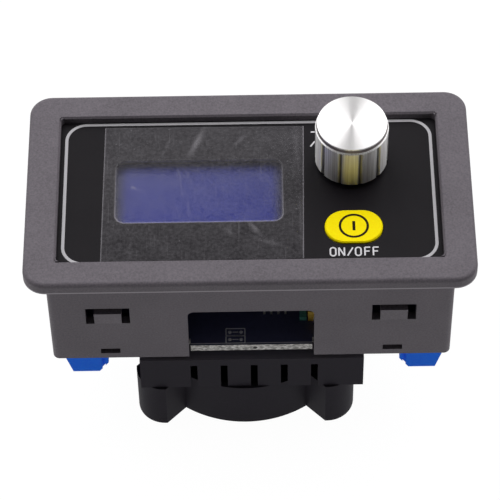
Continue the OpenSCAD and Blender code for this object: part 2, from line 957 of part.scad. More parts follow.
can_r = 3.15;
can_h = 7;
can_base = 0.8;
can_x = 22;
can_y = main_h / 2 - 11.6;

module supply_capacitor() color(metal)
    translate([can_x, can_y, z_board_top]) {
        block([2 * can_r + 0.3, 2 * can_r + 0.3, can_base], [0, 0, 0]);
        translate([0, 0, can_base - cut])
            rotate_extrude()
                polygon([
                    [0, 0], [can_r, 0], [can_r, 1], [can_r - 0.25, 1.2], [can_r - 0.25, 1.5],
                    [can_r, 1.7], [can_r, can_h - can_base - 0.3], [can_r - 0.3, can_h - can_base],
                    [0, can_h - can_base]
                ]);
    }

tantalum_w = 4.3;
tantalum_l = 7.3;
tantalum_h = 2.8;
tantalum_x = 12.4;
tantalum_y = -main_h / 2 + 7.15;

module tantalum_capacitor() color([0.85, 0.68, 0.12])
    translate([tantalum_x, tantalum_y, z_board_top]) {
        block([tantalum_w, tantalum_l, tantalum_h - 0.1], [0, 0, 0.1]);
        for (y = [-1, 1])
            block([2.4, 0.4, 1.4], [0, y * (tantalum_l / 2 + 0.2 - cut), 0]);
    }

led_x = 9.35;
led_y = -main_h / 2 + 4.7;
led_w = 1.25;
led_l = 2;
led_h = 0.9;

module status_led() color([0.15, 0.4, 0.35])
    block([led_w, led_l, led_h], [led_x, led_y, z_board_top]);

amp_x = 4.3;
amp_y = -main_h / 2 + 8.2;
amp_w = 4.9;
amp_l = 3.9;
amp_h = 1.5;

module amplifier_chip() color(black)
    translate([amp_x, amp_y, z_board_top]) {
        block([amp_w, amp_l, amp_h - 0.15], [0, 0, 0.15]);
        for (y = [-1, 1], k = [-1.5 : 1.5])
            translate([k * 1.27 - 0.2, y * (amp_l / 2 + 0.5), 0]) {
                translate([0, -0.55, 0.7])
                    cube([0.4, 1.1, 0.2]);
                translate([0, -0.1, 0])
                    cube([0.4, 0.2, 0.9]);
                translate([0, y < 0 ? -0.6 : 0.1 - cut, 0])
                    cube([0.4, 0.5 + cut, 0.18]);
            }
    }

regulator_x = 6;
regulator_y = main_h / 2 - 8.6;
regulator_w = 6.5;
regulator_l = 3.5;
regulator_h = 1.6;
regulator_lift = 0.05;
regulator_tab = 3;
regulator_lead = 0.75;
regulator_lead_l = 1.8;
regulator_lead_t = 0.3;
regulator_pitch = 2.3;

module regulator() color(black)
    translate([regulator_x, regulator_y, z_board_top]) {
        reach = (regulator_l + regulator_lead_l) / 2 - cut;
        block([regulator_w, regulator_l, regulator_h], [0, 0, regulator_lift]);
        block([regulator_tab, regulator_lead_l, regulator_lead_t], [0, reach, 0]);
        for (k = [-1, 0, 1])
            block([regulator_lead, regulator_lead_l, regulator_lead_t], [k * regulator_pitch, -reach, 0]);
    }

// Terminal blocks: side is -1 on the left and 1 on the right, pole is -1 for the lower wire
module at_block(side) {
    translate([side * block_x(side), term_y, z_board])
        rotate([180, 0, side < 0 ? 180 : 0])
            children();
}

module at_pole(side, pole) {
    translate([side * block_x(side), term_y + pole * term_pitch / 2, z_board])
        rotate([180, 0, side < 0 ? 180 : 0])
            children();
}

module pole_hollow() {
    block(
        [cage_u + 2 * cage_clear, cage_y + 2 * cage_clear, cavity_top - cavity_foot],
        [pole_u, 0, cavity_foot]
    );
    translate([pole_u, 0, cavity_top - cut])
        cylinder(d = clamp_head_d + 2 * clamp_head_clear, h = term_h - cavity_top + 2 * cut);
    translate([cavity_u1 - cut, -entry_w / 2, cage_foot + cage_jaw - 0.2])
        cube([term_w, entry_w, entry_h + 0.4]);
    translate([contact_u - contact_fit, -contact_w / 2 - contact_fit, -cut])
        cube([contact_t + 2 * contact_fit, contact_w + 2 * contact_fit, contact_h + contact_t + contact_fit]);
    translate([contact_u, -contact_w / 2 - contact_fit, contact_h - contact_fit])
        cube([cavity_u0 - contact_u + cut, contact_w + 2 * contact_fit, contact_t + 2 * contact_fit]);
}

module terminal_housing(side) color([0.1, 0.31, 0.78])
    difference() {
        at_block(side)
            difference() {
                rotate([90, 0, 0])
                    linear_extrude(term_l, center = true)
                        polygon([
                            [0, 0], [0, term_h - term_chamfer_h], [term_chamfer_u, term_h],
                            [term_w - term_slope_u, term_h], [term_w, term_h - term_slope_h],
                            [term_w, 0]
                        ]);
                for (y = [-1, 1])
                    block([0.6, 0.8, term_h], [0.9, y * term_l / 2, contact_h + contact_t + 0.6]);
            }
        for (pole = [-1, 1])
            at_pole(side, pole)
                pole_hollow();
    }

module terminal_contacts(side) color(tin)
    for (pole = [-1, 1])
        at_pole(side, pole) {
            translate([contact_u, -contact_w / 2, contact_h])
                cube([cavity_u1 - contact_u - 0.3, contact_w, contact_t]);
            translate([contact_u, -contact_w / 2, 0])
                cube([contact_t, contact_w, contact_h + contact_t]);
            translate([contact_u + contact_t / 2, 0, -board_t - pin_proud])
                cylinder(r = pin_r, h = board_t + pin_proud + cut);
        }

module clamp_cage(side, pole) color(tin)
    at_pole(side, pole)
        translate([pole_u, 0, cage_foot])
            difference() {
                block([cage_u, cage_y, cage_h], [0, 0, 0]);
                block([cage_u + 1, cage_y - 2 * cage_wall, cage_gap], [0, 0, cage_jaw]);
                translate([0, 0, cage_jaw])
                    cylinder(d = clamp_screw_d + 2 * turn_clear, h = cage_h);
            }

module clamp_screw(side, pole) color(metal)
    at_pole(side, pole)
        translate([pole_u, 0, 0])
            difference() {
                union() {
                    translate([0, 0, cavity_top + 0.1])
                        cylinder(d = clamp_head_d, h = clamp_head_h);
                    translate([0, 0, contact_h + contact_t + 0.15])
                        cylinder(d = clamp_screw_d, h = cavity_top - contact_h - contact_t);
                }
                block(
                    [clamp_head_d + 1, clamp_slot_w, clamp_slot_d + cut],
                    [0, 0, cavity_top + 0.1 + clamp_head_h - clamp_slot_d]
                );
            }

// Fan
module fan_outline() {
    circle(fan_r);
    intersection() {
        round_rect(fan_w, fan_w, fan_corner_r);
        union()
            for (turn = [45, 135])
                rotate(turn)
                    square([2 * fan_w, fan_arm_w], center = true);
    }
}

module fan_frame() color(black)
    difference() {
        translate([fan_x, 0, 0]) {
            difference() {
                linear_extrude(fan_t)
                    fan_outline();
                translate([0, 0, -cut])
                    cylinder(r = bore_r, h = fan_t + 2 * cut);
            }
            for (k = [0 : 3])
                rotate([0, 0, strut_turn + 90 * k])
                    translate([hub_r - 0.5, -strut_w / 2, fan_t - strut_t])
                        cube([bore_r - hub_r + 1, strut_w, strut_t]);
            translate([0, 0, z_seat])
                cylinder(r = hub_r + 0.4, h = seat_t);
            translate([0, 0, z_tube])
                difference() {
                    cylinder(r = tube_r, h = z_seat - z_tube + cut);
                    translate([0, 0, -cut])
                        cylinder(r = bearing_r, h = z_seat - z_tube + cut);
                }
        }
        translate([fan_x, 0, 0])
            rotate([0, 0, strut_turn]) {
                translate([hub_r - 2, -groove_w / 2, fan_t - groove_d])
                    cube([fan_w, groove_w, 2 * groove_d]);
                translate([hub_r - 3.2, -groove_w / 2, z_seat - cut])
                    cube([1.4, groove_w, 2 * seat_t]);
            }
        at_fan_screws() {
            translate([0, 0, -cut])
                cylinder(r = sink_screw_r + fan_hole_clear, h = fan_t + 2 * cut);
            translate([0, 0, -cut])
                cylinder(
                    r1 = fan_head_r + fan_hole_clear + cut,
                    r2 = sink_screw_r + fan_hole_clear,
                    h = fan_head_r - sink_screw_r + cut
                );
        }
    }

// One blade section: a cambered band across the fan's depth
module blade_section() {
    chord_h = z_blade_top - z_blade;
    chord_w = chord_h / tan(blade_pitch);
    chord = sqrt(chord_h * chord_h + chord_w * chord_w);
    camber_r = 1.3 * chord;
    drop = sqrt(camber_r * camber_r - chord * chord / 4);
    intersection() {
        translate([drop * chord_h / chord, (z_blade + z_blade_top) / 2 - drop * chord_w / chord])
            difference() {
                circle(camber_r);
                circle(camber_r - blade_t);
            }
        translate([-chord_w, z_blade])
            square([2 * chord_w, chord_h]);
    }
}

module fan_rotor() color(black)
    translate([fan_x, 0, 0]) {
        rotate_extrude()
            polygon([
                [fan_shaft_r, z_hub], [hub_r - 0.6, z_hub], [hub_r, z_hub + 0.6],
                [hub_r, z_hub_open], [magnet_r, z_hub_open], [magnet_r, z_hub + hub_end_t],
                [tube_r, z_hub + hub_end_t], [tube_r, z_tube - 0.3],
                [fan_shaft_r, z_tube - 0.3]
            ]);
        for (k = [0 : blade_count - 1])
            rotate([0, 0, k * 360 / blade_count])
                intersection() {
                    translate([hub_r - 2, 0, 0])
                        rotate([90, 0, 90])
                            linear_extrude(fan_r)
                                blade_section();
                    difference() {
                        cylinder(r = blade_r, h = fan_t);
                        translate([0, 0, -cut])
                            cylinder(r = hub_r - hub_wall / 2, h = fan_t + 1);
                    }
                }
    }

module rotor_magnet() color([0.25, 0.24, 0.23])
    translate([fan_x, 0, z_hub + hub_end_t])
        difference() {
            cylinder(r = magnet_r, h = z_hub_open - z_hub - hub_end_t - magnet_back);
            translate([0, 0, -cut])
                cylinder(r = magnet_r - magnet_t, h = fan_t);
        }

module fan_shaft() color(metal)
    translate([fan_x, 0, z_hub])
        cylinder(r = fan_shaft_r, h = z_seat - z_hub - 0.2);

module fan_bearing() color([0.7, 0.55, 0.35])
    translate([fan_x, 0, z_tube])
        difference() {
            cylinder(r = bearing_r, h = z_seat - z_tube - 0.1);
            translate([0, 0, -cut])
                cylinder(r = fan_shaft_r + turn_clear, h = fan_t);
        }

pole_w = 2.6;
shoe_t = 1.2;
core_ring = 0.9;
coil_t = 0.7;
coil_over = 0.4;
coil_start = 1.4;
coil_stop = 0.3;

module stator_core() color([0.5, 0.5, 0.52])
    translate([fan_x, 0, z_stator])
        linear_extrude(stator_h)
            difference() {
                union() {
                    circle(tube_r + core_ring);
                    for (turn = [0, 90])
                        rotate(turn)
                            square([2 * stator_r - shoe_t, pole_w], center = true);
                    intersection() {
                        difference() {
                            circle(stator_r);
                            circle(stator_r - shoe_t);
                        }
                        for (turn = [0, 90])
                            rotate(turn)
                                square([3 * stator_r, 1.3 * stator_r], center = true);
                    }
                }
                circle(tube_r + fit);
            }

module stator_coils() color([0.7, 0.35, 0.15])
    translate([fan_x, 0, z_stator - coil_over])
        for (k = [0 : 3])
            rotate([0, 0, 90 * k])
                difference() {
                    translate([tube_r + coil_start, -pole_w / 2 - coil_t, 0])
                        cube([
                            stator_r - shoe_t - tube_r - coil_start - coil_stop,
                            pole_w + 2 * coil_t,
                            stator_h + 2 * coil_over
                        ]);
                    translate([tube_r, -pole_w / 2, coil_over])
                        cube([stator_r, pole_w, stator_h]);
                }

module motor_board() color(board_blue)
    translate([fan_x, 0, z_motor_board])
        difference() {
            cylinder(r = stator_r, h = motor_board_t);
            translate([0, 0, -cut])
                cylinder(r = tube_r + fit, h = 2 * motor_board_t);
        }

module fan_screws() color(black)
    at_fan_screws()
        difference() {
            union() {
                translate([0, 0, 0.1])
                    cylinder(r1 = fan_head_r, r2 = sink_screw_r, h = fan_head_r - sink_screw_r);
                translate([0, 0, 0.1])
                    cylinder(r = sink_screw_r, h = fan_t + fan_thread_l - 0.1);
            }
            for (turn = [0, 90])
                rotate([0, 0, turn])
                    block([sink_head_r * 1.2, 0.6, 0.9], [0, 0, 0]);
        }

// Leads: a round tube swept along a route, whose corners are eased into round bends
function unit(v) = v / norm(v);
function eased(a, b, c, t) = (1 - t) * (1 - t) * a + 2 * t * (1 - t) * b + t * t * c;
function bend_at(p, k) = min(lead_bend, norm(p[k - 1] - p[k]) / 2, norm(p[k + 1] - p[k]) / 2);
function lead_corner(p, k, t) = eased(
    p[k] + bend_at(p, k) * unit(p[k - 1] - p[k]), p[k], p[k] + bend_at(p, k) * unit(p[k + 1] - p[k]), t
);
function lead_path(p) = [
    p[0], for (k = [1 : len(p) - 2], t = [0 : 3]) lead_corner(p, k, t / 3), p[len(p) - 1]
];

// Ring round point k of the path, square to the run there
function lead_ring(path, k) = let (
    way = unit(path[min(k + 1, len(path) - 1)] - path[max(k - 1, 0)]),
    side = [sin(strut_turn), -cos(strut_turn), 0],
    across = unit(side - (side * way) * way),
    other = cross(way, across)
) [
    for (a = [0 : lead_sides - 1])
        path[k] + lead_r * (cos(a * lead_step) * across + sin(a * lead_step) * other)
];

module lead(p) {
    path = lead_path(p);
    last = len(path) - 1;
    ring = [for (a = [0 : lead_sides - 1]) a];
    tube = [
        for (k = [0 : last - 1], a = ring)
            let (b = (a + 1) % lead_sides, low = k * lead_sides, high = low + lead_sides)
                [low + a, high + a, high + b, low + b]
    ];
    polyhedron(
        [for (k = [0 : last]) each lead_ring(path, k)],
        concat([ring], tube, [[for (a = ring) (last + 1) * lead_sides - 1 - a]])
    );
}

// Point over the fan's strut: radius from the axis, shift to one side, height
function strut_point(r, shift, z) = [
    fan_x + r * cos(strut_turn) + shift * sin(strut_turn),
    r * sin(strut_turn) - shift * cos(strut_turn),
    z
];

// Where a lead leaves the strut's groove and turns up beside the heat sink: side is -1 or 1
function lead_exit(side) = strut_point(
    (lead_x - fan_x - side * lead_side * sin(strut_turn)) / cos(strut_turn), side * lead_side, z_groove
);

module fan_lead(side) {
    pad = lead_pads[(side + 1) / 2];
    corner = lead_exit(side);
    lead([
        [pad[0], pad[1], z_board_top + 0.1],
        [pad[0], pad[1], z_board - lead_drop],
        [lead_x, corner[1], z_board - lead_drop - lead_slant],
        corner,
        strut_point(lead_end_r + lead_dip, side * lead_side, z_groove),
        strut_point(lead_end_r, side * lead_side, z_seat + lead_r + 0.1)
    ]);
}

module fan_lead_black() color([0.05, 0.05, 0.05])
    fan_lead(-1);

module fan_lead_red() color([0.75, 0.08, 0.06])
    fan_lead(1);

housing_shell();
front_overlay();
display_window();
protective_film();
lcd_glass();
lcd_backlight();
zebra_strip();
display_board();
display_board_screws();
encoder_body();
encoder_bushing();
encoder_rotor();
encoder_shaft();
knob();
knob_insert();
on_off_key();
key_switch_body();
key_switch_plunger();
control_chip();
board_header();
board_socket();
main_board();
power_transistor();
thermal_pad();
heatsink();
heatsink_spacers();
heatsink_screws();
shunt_resistor();
supply_capacitor();
tantalum_capacitor();
status_led();
amplifier_chip();
regulator();
terminal_housing(-1);  // load_terminal_housing
terminal_contacts(-1);  // load_terminal_contacts
clamp_cage(-1, -1);  // load_clamp_a
clamp_cage(-1, 1);  // load_clamp_b
clamp_screw(-1, -1);  // load_screw_a
clamp_screw(-1, 1);  // load_screw_b
terminal_housing(1);  // supply_terminal_housing
terminal_contacts(1);  // supply_terminal_contacts
clamp_cage(1, -1);  // supply_clamp_a
clamp_cage(1, 1);  // supply_clamp_b
clamp_screw(1, -1);  // supply_screw_a
clamp_screw(1, 1);  // supply_screw_b
fan_frame();
fan_rotor();
rotor_magnet();
fan_shaft();
fan_bearing();
stator_core();
stator_coils();
motor_board();
fan_screws();
fan_lead_black();
fan_lead_red();
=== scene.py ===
# %% [markdown]
# # A panel-mount electronic load
# The solids of the part come in as a fixed frame, in metres, with the front panel facing up and the
# fan's rear face at z = 0. This lesson gives them the finishes of the real thing and adds what
# solids don't carry well: ink, a scuffed film, and marks on a board.

# %% Load the frame
import json
import math

import bmesh
import bpy
import numpy as np
from mathutils import Matrix


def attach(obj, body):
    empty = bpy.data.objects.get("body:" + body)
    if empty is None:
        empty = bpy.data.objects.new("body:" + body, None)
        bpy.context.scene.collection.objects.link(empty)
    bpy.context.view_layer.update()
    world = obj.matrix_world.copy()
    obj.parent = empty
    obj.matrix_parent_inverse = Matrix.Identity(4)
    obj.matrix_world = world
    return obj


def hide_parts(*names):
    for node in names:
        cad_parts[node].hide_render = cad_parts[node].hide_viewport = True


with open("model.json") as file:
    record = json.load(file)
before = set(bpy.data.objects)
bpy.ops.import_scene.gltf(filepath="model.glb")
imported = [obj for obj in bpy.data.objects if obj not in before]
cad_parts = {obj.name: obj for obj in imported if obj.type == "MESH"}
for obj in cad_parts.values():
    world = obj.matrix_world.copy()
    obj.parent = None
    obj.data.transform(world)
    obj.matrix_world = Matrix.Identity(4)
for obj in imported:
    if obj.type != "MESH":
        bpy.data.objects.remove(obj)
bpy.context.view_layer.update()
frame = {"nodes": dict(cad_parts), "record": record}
NODES = frame["nodes"]
MM = 0.001

# %% [markdown]
# ## Camera
# A long lens looks down at the panel from below its lower edge. The eye could be placed by hand
# until things line up; instead the eye, the aim and the roll come from fitting a pinhole camera to
# straight edges of the photograph, so that each solid lands on its own outline.

# %% Photo camera
EYE = np.array([1.28, -296.87, 416.79]) * MM
AIM = np.array([0.03, -14.35, 45.3]) * MM
ROLL = math.radians(-1.05)
FOCAL_PX = 2685
IMAGE_PX = 500
SENSOR_MM = 36
FAR_M = 10

forward = (AIM - EYE) / np.linalg.norm(AIM - EYE)
level = np.cross(forward, [0, 0, 1])
level /= np.linalg.norm(level)
right = math.cos(ROLL) * level + math.sin(ROLL) * np.cross(level, forward)
pose = np.eye(4)
pose[:3, :] = np.stack([right, np.cross(right, forward), -forward, EYE], axis=1)
lens = bpy.data.cameras.new("photo_camera")
lens.sensor_fit = "HORIZONTAL"
lens.sensor_width = SENSOR_MM
lens.lens = SENSOR_MM * FOCAL_PX / IMAGE_PX
lens.clip_end = FAR_M
camera = bpy.data.objects.new("photo_camera", lens)
camera.matrix_world = Matrix(pose.tolist())
bpy.context.scene.collection.objects.link(camera)
bpy.context.scene.camera = camera
print("camera looks down", round(math.degrees(math.asin(-forward[2])), 2), "degrees")

# %% [markdown]
# ## Tools for new pieces
# A profile carried along a path makes border lines, rings and the strokes of letters alike. Curves
# with a bevel could do it too, but a path and a profile as arrays keep every corner where it is
# wanted: the whole surface is one sum of arrays, and the mesh gets it in one go.


# %% Mesh tools
def carried(path, profile, up=(0, 0, 1), closed=False):
    """Rings of a profile along a path: point = path + side * profile_x + top * profile_y, where
    side is the path's direction crossed with up, and top is square to both."""
    path = np.asarray(path, float)
    step = np.roll(path, -1, 0) - np.roll(path, 1, 0) if closed else np.gradient(path, axis=0)
    along = step / np.linalg.norm(step, axis=1, keepdims=True)
    side = np.cross(along, up)
    side /= np.linalg.norm(side, axis=1, keepdims=True)
    top = np.cross(side, along)
    profile = np.asarray(profile, float)
    return (path[:, None, :] + side[:, None, :] * profile[None, :, :1]
            + top[:, None, :] * profile[None, :, 1:])


def skin(rings, closed=False, first=0):
    """Faces of a grid of rings, quad (i, j): the ring wraps round, and the ends are capped unless
    the path closes."""
    n, m = rings.shape[:2]
    i = np.arange(n if closed else n - 1)[:, None]
    j = np.arange(m)[None, :]
    k, l = (i + 1) % n, (j + 1) % m
    quads = np.stack([i * m + j, i * m + l, k * m + l, k * m + j], axis=-1).reshape(-1, 4) + first
    caps = [] if closed else [np.arange(m)[::-1] + first, np.arange(m) + (n - 1) * m + first]
    return quads.tolist() + [c.tolist() for c in caps]


bar = carried([(0, 0, 0), (1, 0, 0)], [(-1, -1), (1, -1), (1, 1), (-1, 1)])
print("a plain bar has", len(skin(bar)), "faces")


# %% Piece tools
def make_piece(name, parts, finish, body, smooth=False):
    """One object from several (rings, closed) grids in millimetres, with its place in its mesh."""
    points, faces, first = [], [], 0
    for rings, closed in parts:
        faces += skin(rings, closed, first)
        points.append(rings.reshape(-1, 3))
        first += points[-1].shape[0]
    mesh = bpy.data.meshes.new(name)
    mesh.from_pydata(np.concatenate(points) * MM, [], faces)
    return finish_piece(name, mesh, finish, body, smooth)


def finish_piece(name, mesh, finish, body, smooth=False):
    """Points the faces out, sets shading and finish, and lets the piece ride on its body."""
    shape = bmesh.new()
    shape.from_mesh(mesh)
    bmesh.ops.recalc_face_normals(shape, faces=shape.faces)
    shape.to_mesh(mesh)
    shape.free()
    mesh.polygons.foreach_set("use_smooth", np.full(len(mesh.polygons), smooth))
    mesh.materials.append(finish)
    piece = bpy.data.objects.new(name, mesh)
    bpy.context.scene.collection.objects.link(piece)
    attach(piece, body)
    print(name, len(mesh.polygons), "faces on", body)
    return piece


print("pieces so far:", len(NODES))


# %% [markdown]
# ## Colours and nodes
# Colours are written as they look on a screen and turned to linear light. One helper adds a node
# with its settings and links, and all patterns read the object's own coordinates in millimetres.
# Map Range takes its value at input 0, the range it comes from at 1 and 2, and the range it goes to
# at 3 and 4, which is 0 to 1 unless given. A colour Mix takes its factor at input 0 and its two
# colours at 6 and 7.

# %% Colour and node tools
NOISE, MATH, VECTOR = "ShaderNodeTexNoise", "ShaderNodeMath", "ShaderNodeVectorMath"
MIX, RANGE, BUMP = "ShaderNodeMix", "ShaderNodeMapRange", "ShaderNodeBump"
SPLIT, COORD = "ShaderNodeSeparateXYZ", "ShaderNodeTexCoord"
SHADER = "Principled BSDF"


def linear(code):
    """sRGB hex to linear RGBA: c / 12.92 below 0.04045, and ((c + 0.055) / 1.055) ** 2.4 above."""
    c = np.array([int(code[k:k + 2], 16) for k in (1, 3, 5)]) / 255
    return (*np.where(c <= 0.04045, c / 12.92, ((c + 0.055) / 1.055) ** 2.4).tolist(), 1.0)


def feed(tree, node, inputs):
    """Fills inputs: a node gives its first live output, a socket is linked, a hex code becomes a
    linear colour, and any other value is set on the socket itself."""
    for key, value in inputs.items():
        if isinstance(value, bpy.types.Node):
            value = next(out for out in value.outputs if out.enabled)
        if isinstance(value, bpy.types.NodeSocket):
            tree.links.new(value, node.inputs[key])
        else:
            node.inputs[key].default_value = linear(value) if isinstance(value, str) else value


def add(tree, kind, inputs=None, **settings):
    """Adds a node: settings go to the node, and inputs are fed."""
    node = tree.nodes.new(kind)
    for key, value in settings.items():
        setattr(node, key, value)
    feed(tree, node, inputs or {})
    return node


def blank(name):
    """A new material, its node tree, its shader and the place in millimetres."""
    material = bpy.data.materials.new(name)
    material.use_nodes = True
    tree = material.node_tree
    spot = add(tree, COORD).outputs["Object"]
    place = add(tree, VECTOR, {0: spot, "Scale": 1 / MM}, operation="SCALE")
    return material, tree, tree.nodes[SHADER], place


print("a grey of #808080 is", round(linear("#808080")[0], 3), "in linear light")


# %% [markdown]
# ## Moulded plastics
# The case is ABS from a spark-eroded mould: a matt grain of a few hundredths of a millimetre. The
# grain is too fine for this picture, so it is drawn about ten times as coarse and as shallow as
# keeps the look. An image of such a grain would repeat; noise doesn't, and the same recipe, with
# other colours, grains and gloss, serves nylon, fan plastic, epoxy and the key.

# %% Moulded plastics
FINISH = {}
LOW, HIGH = 0.3, 0.7  # noise mostly stays between these
CLOUD_MM, CLOUD_SHARE = 9.0, 0.4
TONE_LOW, TONE_HIGH = 0.45, 0.95
GLOSS_SPREAD = 0.05
PLASTIC_IOR = 1.53


def moulded(name, dark, light, roughness, grain_mm, grain_height, mirror=0.2):
    """Two-tone plastic: a fine grain moves the colour, the roughness and the height, and slow clouds
    move the colour a little. Mirror is the specular level: a broken-up surface mirrors less than the
    bare index says."""
    material, tree, shader, place = blank(name)
    cloud = add(tree, NOISE, {"Vector": place, "Scale": 1 / CLOUD_MM, "Detail": 3.0})
    grain = add(tree, NOISE, {"Vector": place, "Scale": 1 / grain_mm, "Detail": 2.0})
    tone = add(tree, MATH, {0: cloud, 1: CLOUD_SHARE, 2: grain}, operation="MULTIPLY_ADD")
    tone = add(tree, RANGE, {0: tone, 1: TONE_LOW, 2: TONE_HIGH})
    feed(tree, shader, {
        "Base Color": add(tree, MIX, {0: tone, 6: dark, 7: light}, data_type="RGBA"),
        "Roughness": add(tree, RANGE, {
            0: grain, 1: LOW, 2: HIGH, 3: roughness - GLOSS_SPREAD, 4: roughness + GLOSS_SPREAD}),
        "Normal": add(tree, BUMP, {"Height": grain, "Distance": grain_height * MM}),
        "IOR": PLASTIC_IOR, "Specular IOR Level": mirror,
    })
    return material


# Columns: name, darker and lighter tone, roughness, grain in mm, its height in mm, specular level.
PLASTICS = {
    # Purple-grey and dull, with the sparkle of a spark-eroded mould.
    "grey_abs": ("spark_grained_abs", "#5b565c", "#716b72", 0.55, 0.32, 0.02),
    # Plain black with a soft sheen.
    "black_nylon": ("black_nylon", "#141315", "#1b1a1c", 0.5, 0.4, 0.008, 0.15),
    # Warm white, waxy.
    "white_plastic": ("white_acetal", "#dcdad4", "#e6e4de", 0.4, 0.4, 0.005),
    # Strong, slightly glossy blue of terminal blocks.
    "blue_nylon": ("blue_nylon_66", "#1470ff", "#1c7aff", 0.38, 0.5, 0.006, 0.05),
    # Full yellow that hardly mirrors.
    "yellow_plastic": ("yellow_abs", "#ffe400", "#ffee00", 0.42, 0.35, 0.006, 0.05),
    # Nearly black and matt: glass fibres roughen the skin.
    "black_fan_plastic": ("glass_filled_pbt", "#29262d", "#312e35", 0.55, 0.3, 0.012, 0.04),
    # Milky, even white that spreads light.
    "white_diffuser": ("milky_acrylic", "#dfdfe6", "#eaeaf0", 0.35, 0.6, 0.002),
    # Dull dark grey.
    "contact_rubber": ("layered_contact_rubber", "#3a3a3d", "#47474a", 0.7, 0.3, 0.01),
    # Chalky blue-grey.
    "pad_silicone": ("filled_silicone_pad", "#8a96a3", "#98a4b0", 0.7, 0.25, 0.02),
    # Glossy green of an unlit indicator.
    "green_epoxy": ("green_led_epoxy", "#5fae9f", "#78c4b2", 0.25, 0.5, 0.003),
    # Brownish grey, with the dust of ground ferrite.
    "magnet_rubber": ("bonded_ferrite", "#343231", "#3d3b3a", 0.65, 0.2, 0.01),
    # Soft-looking red and black of wire covers.
    "red_lead": ("red_vinyl", "#9c1712", "#ad201a", 0.4, 0.5, 0.004),
    "black_lead": ("black_vinyl", "#131314", "#1b1b1c", 0.4, 0.5, 0.004),
}
for slot, row in PLASTICS.items():
    FINISH[slot] = moulded(*row)
print("plastics:", len(PLASTICS))

# %% [markdown]
# The bezel's rear edge, where the mould parts, carries a painted highlight: a light line. It could
# be a thin strip of its own, but the height above the table tells where it is, so it is a band in the
# case's colour.

# %% Painted highlight behind the bezel
FLANGE_REAR_Z = 42.98
LINE_FAR, LINE_NEAR = 0.28, 0.16

tree = FINISH["grey_abs"].node_tree
shader = tree.nodes[SHADER]
height = add(tree, SPLIT, {"Vector": add(tree, COORD).outputs["Object"]}).outputs["Z"]
gap = add(tree, MATH, {0: height, 1: FLANGE_REAR_Z * MM}, operation="SUBTRACT")
gap = add(tree, MATH, {0: gap}, operation="ABSOLUTE")
# painted highlight: the base colour turns light in a thin band round the bezel's rear edge
rear_edge_highlight = add(tree, RANGE, {0: gap, 1: LINE_FAR * MM, 2: LINE_NEAR * MM})
tone = shader.inputs["Base Color"].links[0].from_socket
tone = add(tree, MIX, {0: rear_edge_highlight, 6: tone, 7: "#a29ca3"}, data_type="RGBA")
feed(tree, shader, {"Base Color": tone})
print("light line at", FLANGE_REAR_Z, "mm")

# %% [markdown]
# ## Leaded packages
# A chip is a block of black epoxy with tinned leads beside it. Both are one solid here. Splitting
# the mesh would change a solid, so the finish looks at the place: inside the body's box it is
# epoxy, outside it is tin.

# %% Leaded packages
EPOXY_GRAIN_MM = 1 / 3
SEAM_MM = 0.02


def packaged(name, dark, light, middle, half, lead="#e6e4e0"):
    """Epoxy inside the box |place - middle| < half, tinned metal outside it."""
    material, tree, shader, place = blank(name)
    offset = add(tree, VECTOR, {0: place, 1: middle}, operation="SUBTRACT")
    size = add(tree, VECTOR, {0: offset}, operation="ABSOLUTE")
    over = add(tree, SPLIT, {"Vector": add(tree, VECTOR, {0: size, 1: half}, operation="SUBTRACT")})
    widest = add(tree, MATH, {0: over.outputs["X"], 1: over.outputs["Y"]}, operation="MAXIMUM")
    widest = add(tree, MATH, {0: widest, 1: over.outputs["Z"]}, operation="MAXIMUM")
    metal = add(tree, RANGE, {0: widest, 1: 0.0, 2: SEAM_MM})
    grain = add(tree, NOISE, {"Vector": place, "Scale": 1 / EPOXY_GRAIN_MM, "Detail": 2.0})
    epoxy = add(tree, MIX, {0: grain, 6: dark, 7: light}, data_type="RGBA")
    tin = add(tree, MIX, {0: grain, 6: "#d2d0cc", 7: lead}, data_type="RGBA")
    feed(tree, shader, {
        "Base Color": add(tree, MIX, {0: metal, 6: epoxy, 7: tin}, data_type="RGBA"),
        "Metallic": add(tree, RANGE, {0: metal, 3: 0.0, 4: 0.5}),
        "Roughness": add(tree, RANGE, {0: metal, 3: 0.6, 4: 0.3}),
    })
    return material


# Dull black blocks with bright feet; the capacitor is egg yellow, and the header has gilt pins.
CHIP_BLACK = "#19181a", "#232224"
CHIPS = {
    "amplifier_chip": ((4.3, -9.4, 24.3), (2.46, 1.96, 0.9)),
    "regulator": ((6.0, 9.0, 24.4), (3.3, 1.8, 1.0)),
    "control_chip": ((4.0, -2.0, 33.6), (3.52, 3.52, 0.75)),
    "power_transistor": ((0.0, 0.0, 20.8), (3.4, 3.1, 1.2)),
}
for chip, (middle, half) in CHIPS.items():
    FINISH[chip] = packaged(f"epoxy_and_tin_{chip}", *CHIP_BLACK, middle, half)
FINISH["tantalum_epoxy"] = packaged(
    "yellow_tantalum_epoxy", "#eebe44", "#fad264", (12.4, -10.45, 25.0), (2.2, 3.66, 1.6))
FINISH["board_header"] = packaged(
    "header_nylon_and_gilt", "#151416", "#1d1c1e", (-12.0, 11.5, 33.2), (6.4, 2.6, 1.22), "#c9a54a")
print("packages:", len(CHIPS) + 2)

# %% [markdown]
# ## Metals
# The knob is turned on a lathe: its grooves run round the axis, so light spreads across them, in
# spokes. Cutting the grooves into the mesh would take millions of faces. The shader's anisotropy
# does it with a tangent that runs round the axis, turned a quarter, and rings of bump every fifth
# of a millimetre stand for the finer real grooves. The flutes in the side and the groove under the
# rim are painted darker: painted shade in these hollows. The drawn side as a whole is duller.

# %% Turned aluminium: where things are
KNOB_AXIS = (18.3, 6.6, 0.0)
GROOVE_TOP = 54.0, 53.9  # the groove under the rim blends in between these heights
GROOVE_FOOT = 53.42, 53.32  # and out again between these
FLUTE_EDGE_R, FLUTE_DEEP_R = 6.3, 6.1
UP_FROM, UP_TO = 0.8, 0.95  # Z of the normal on faces that look up

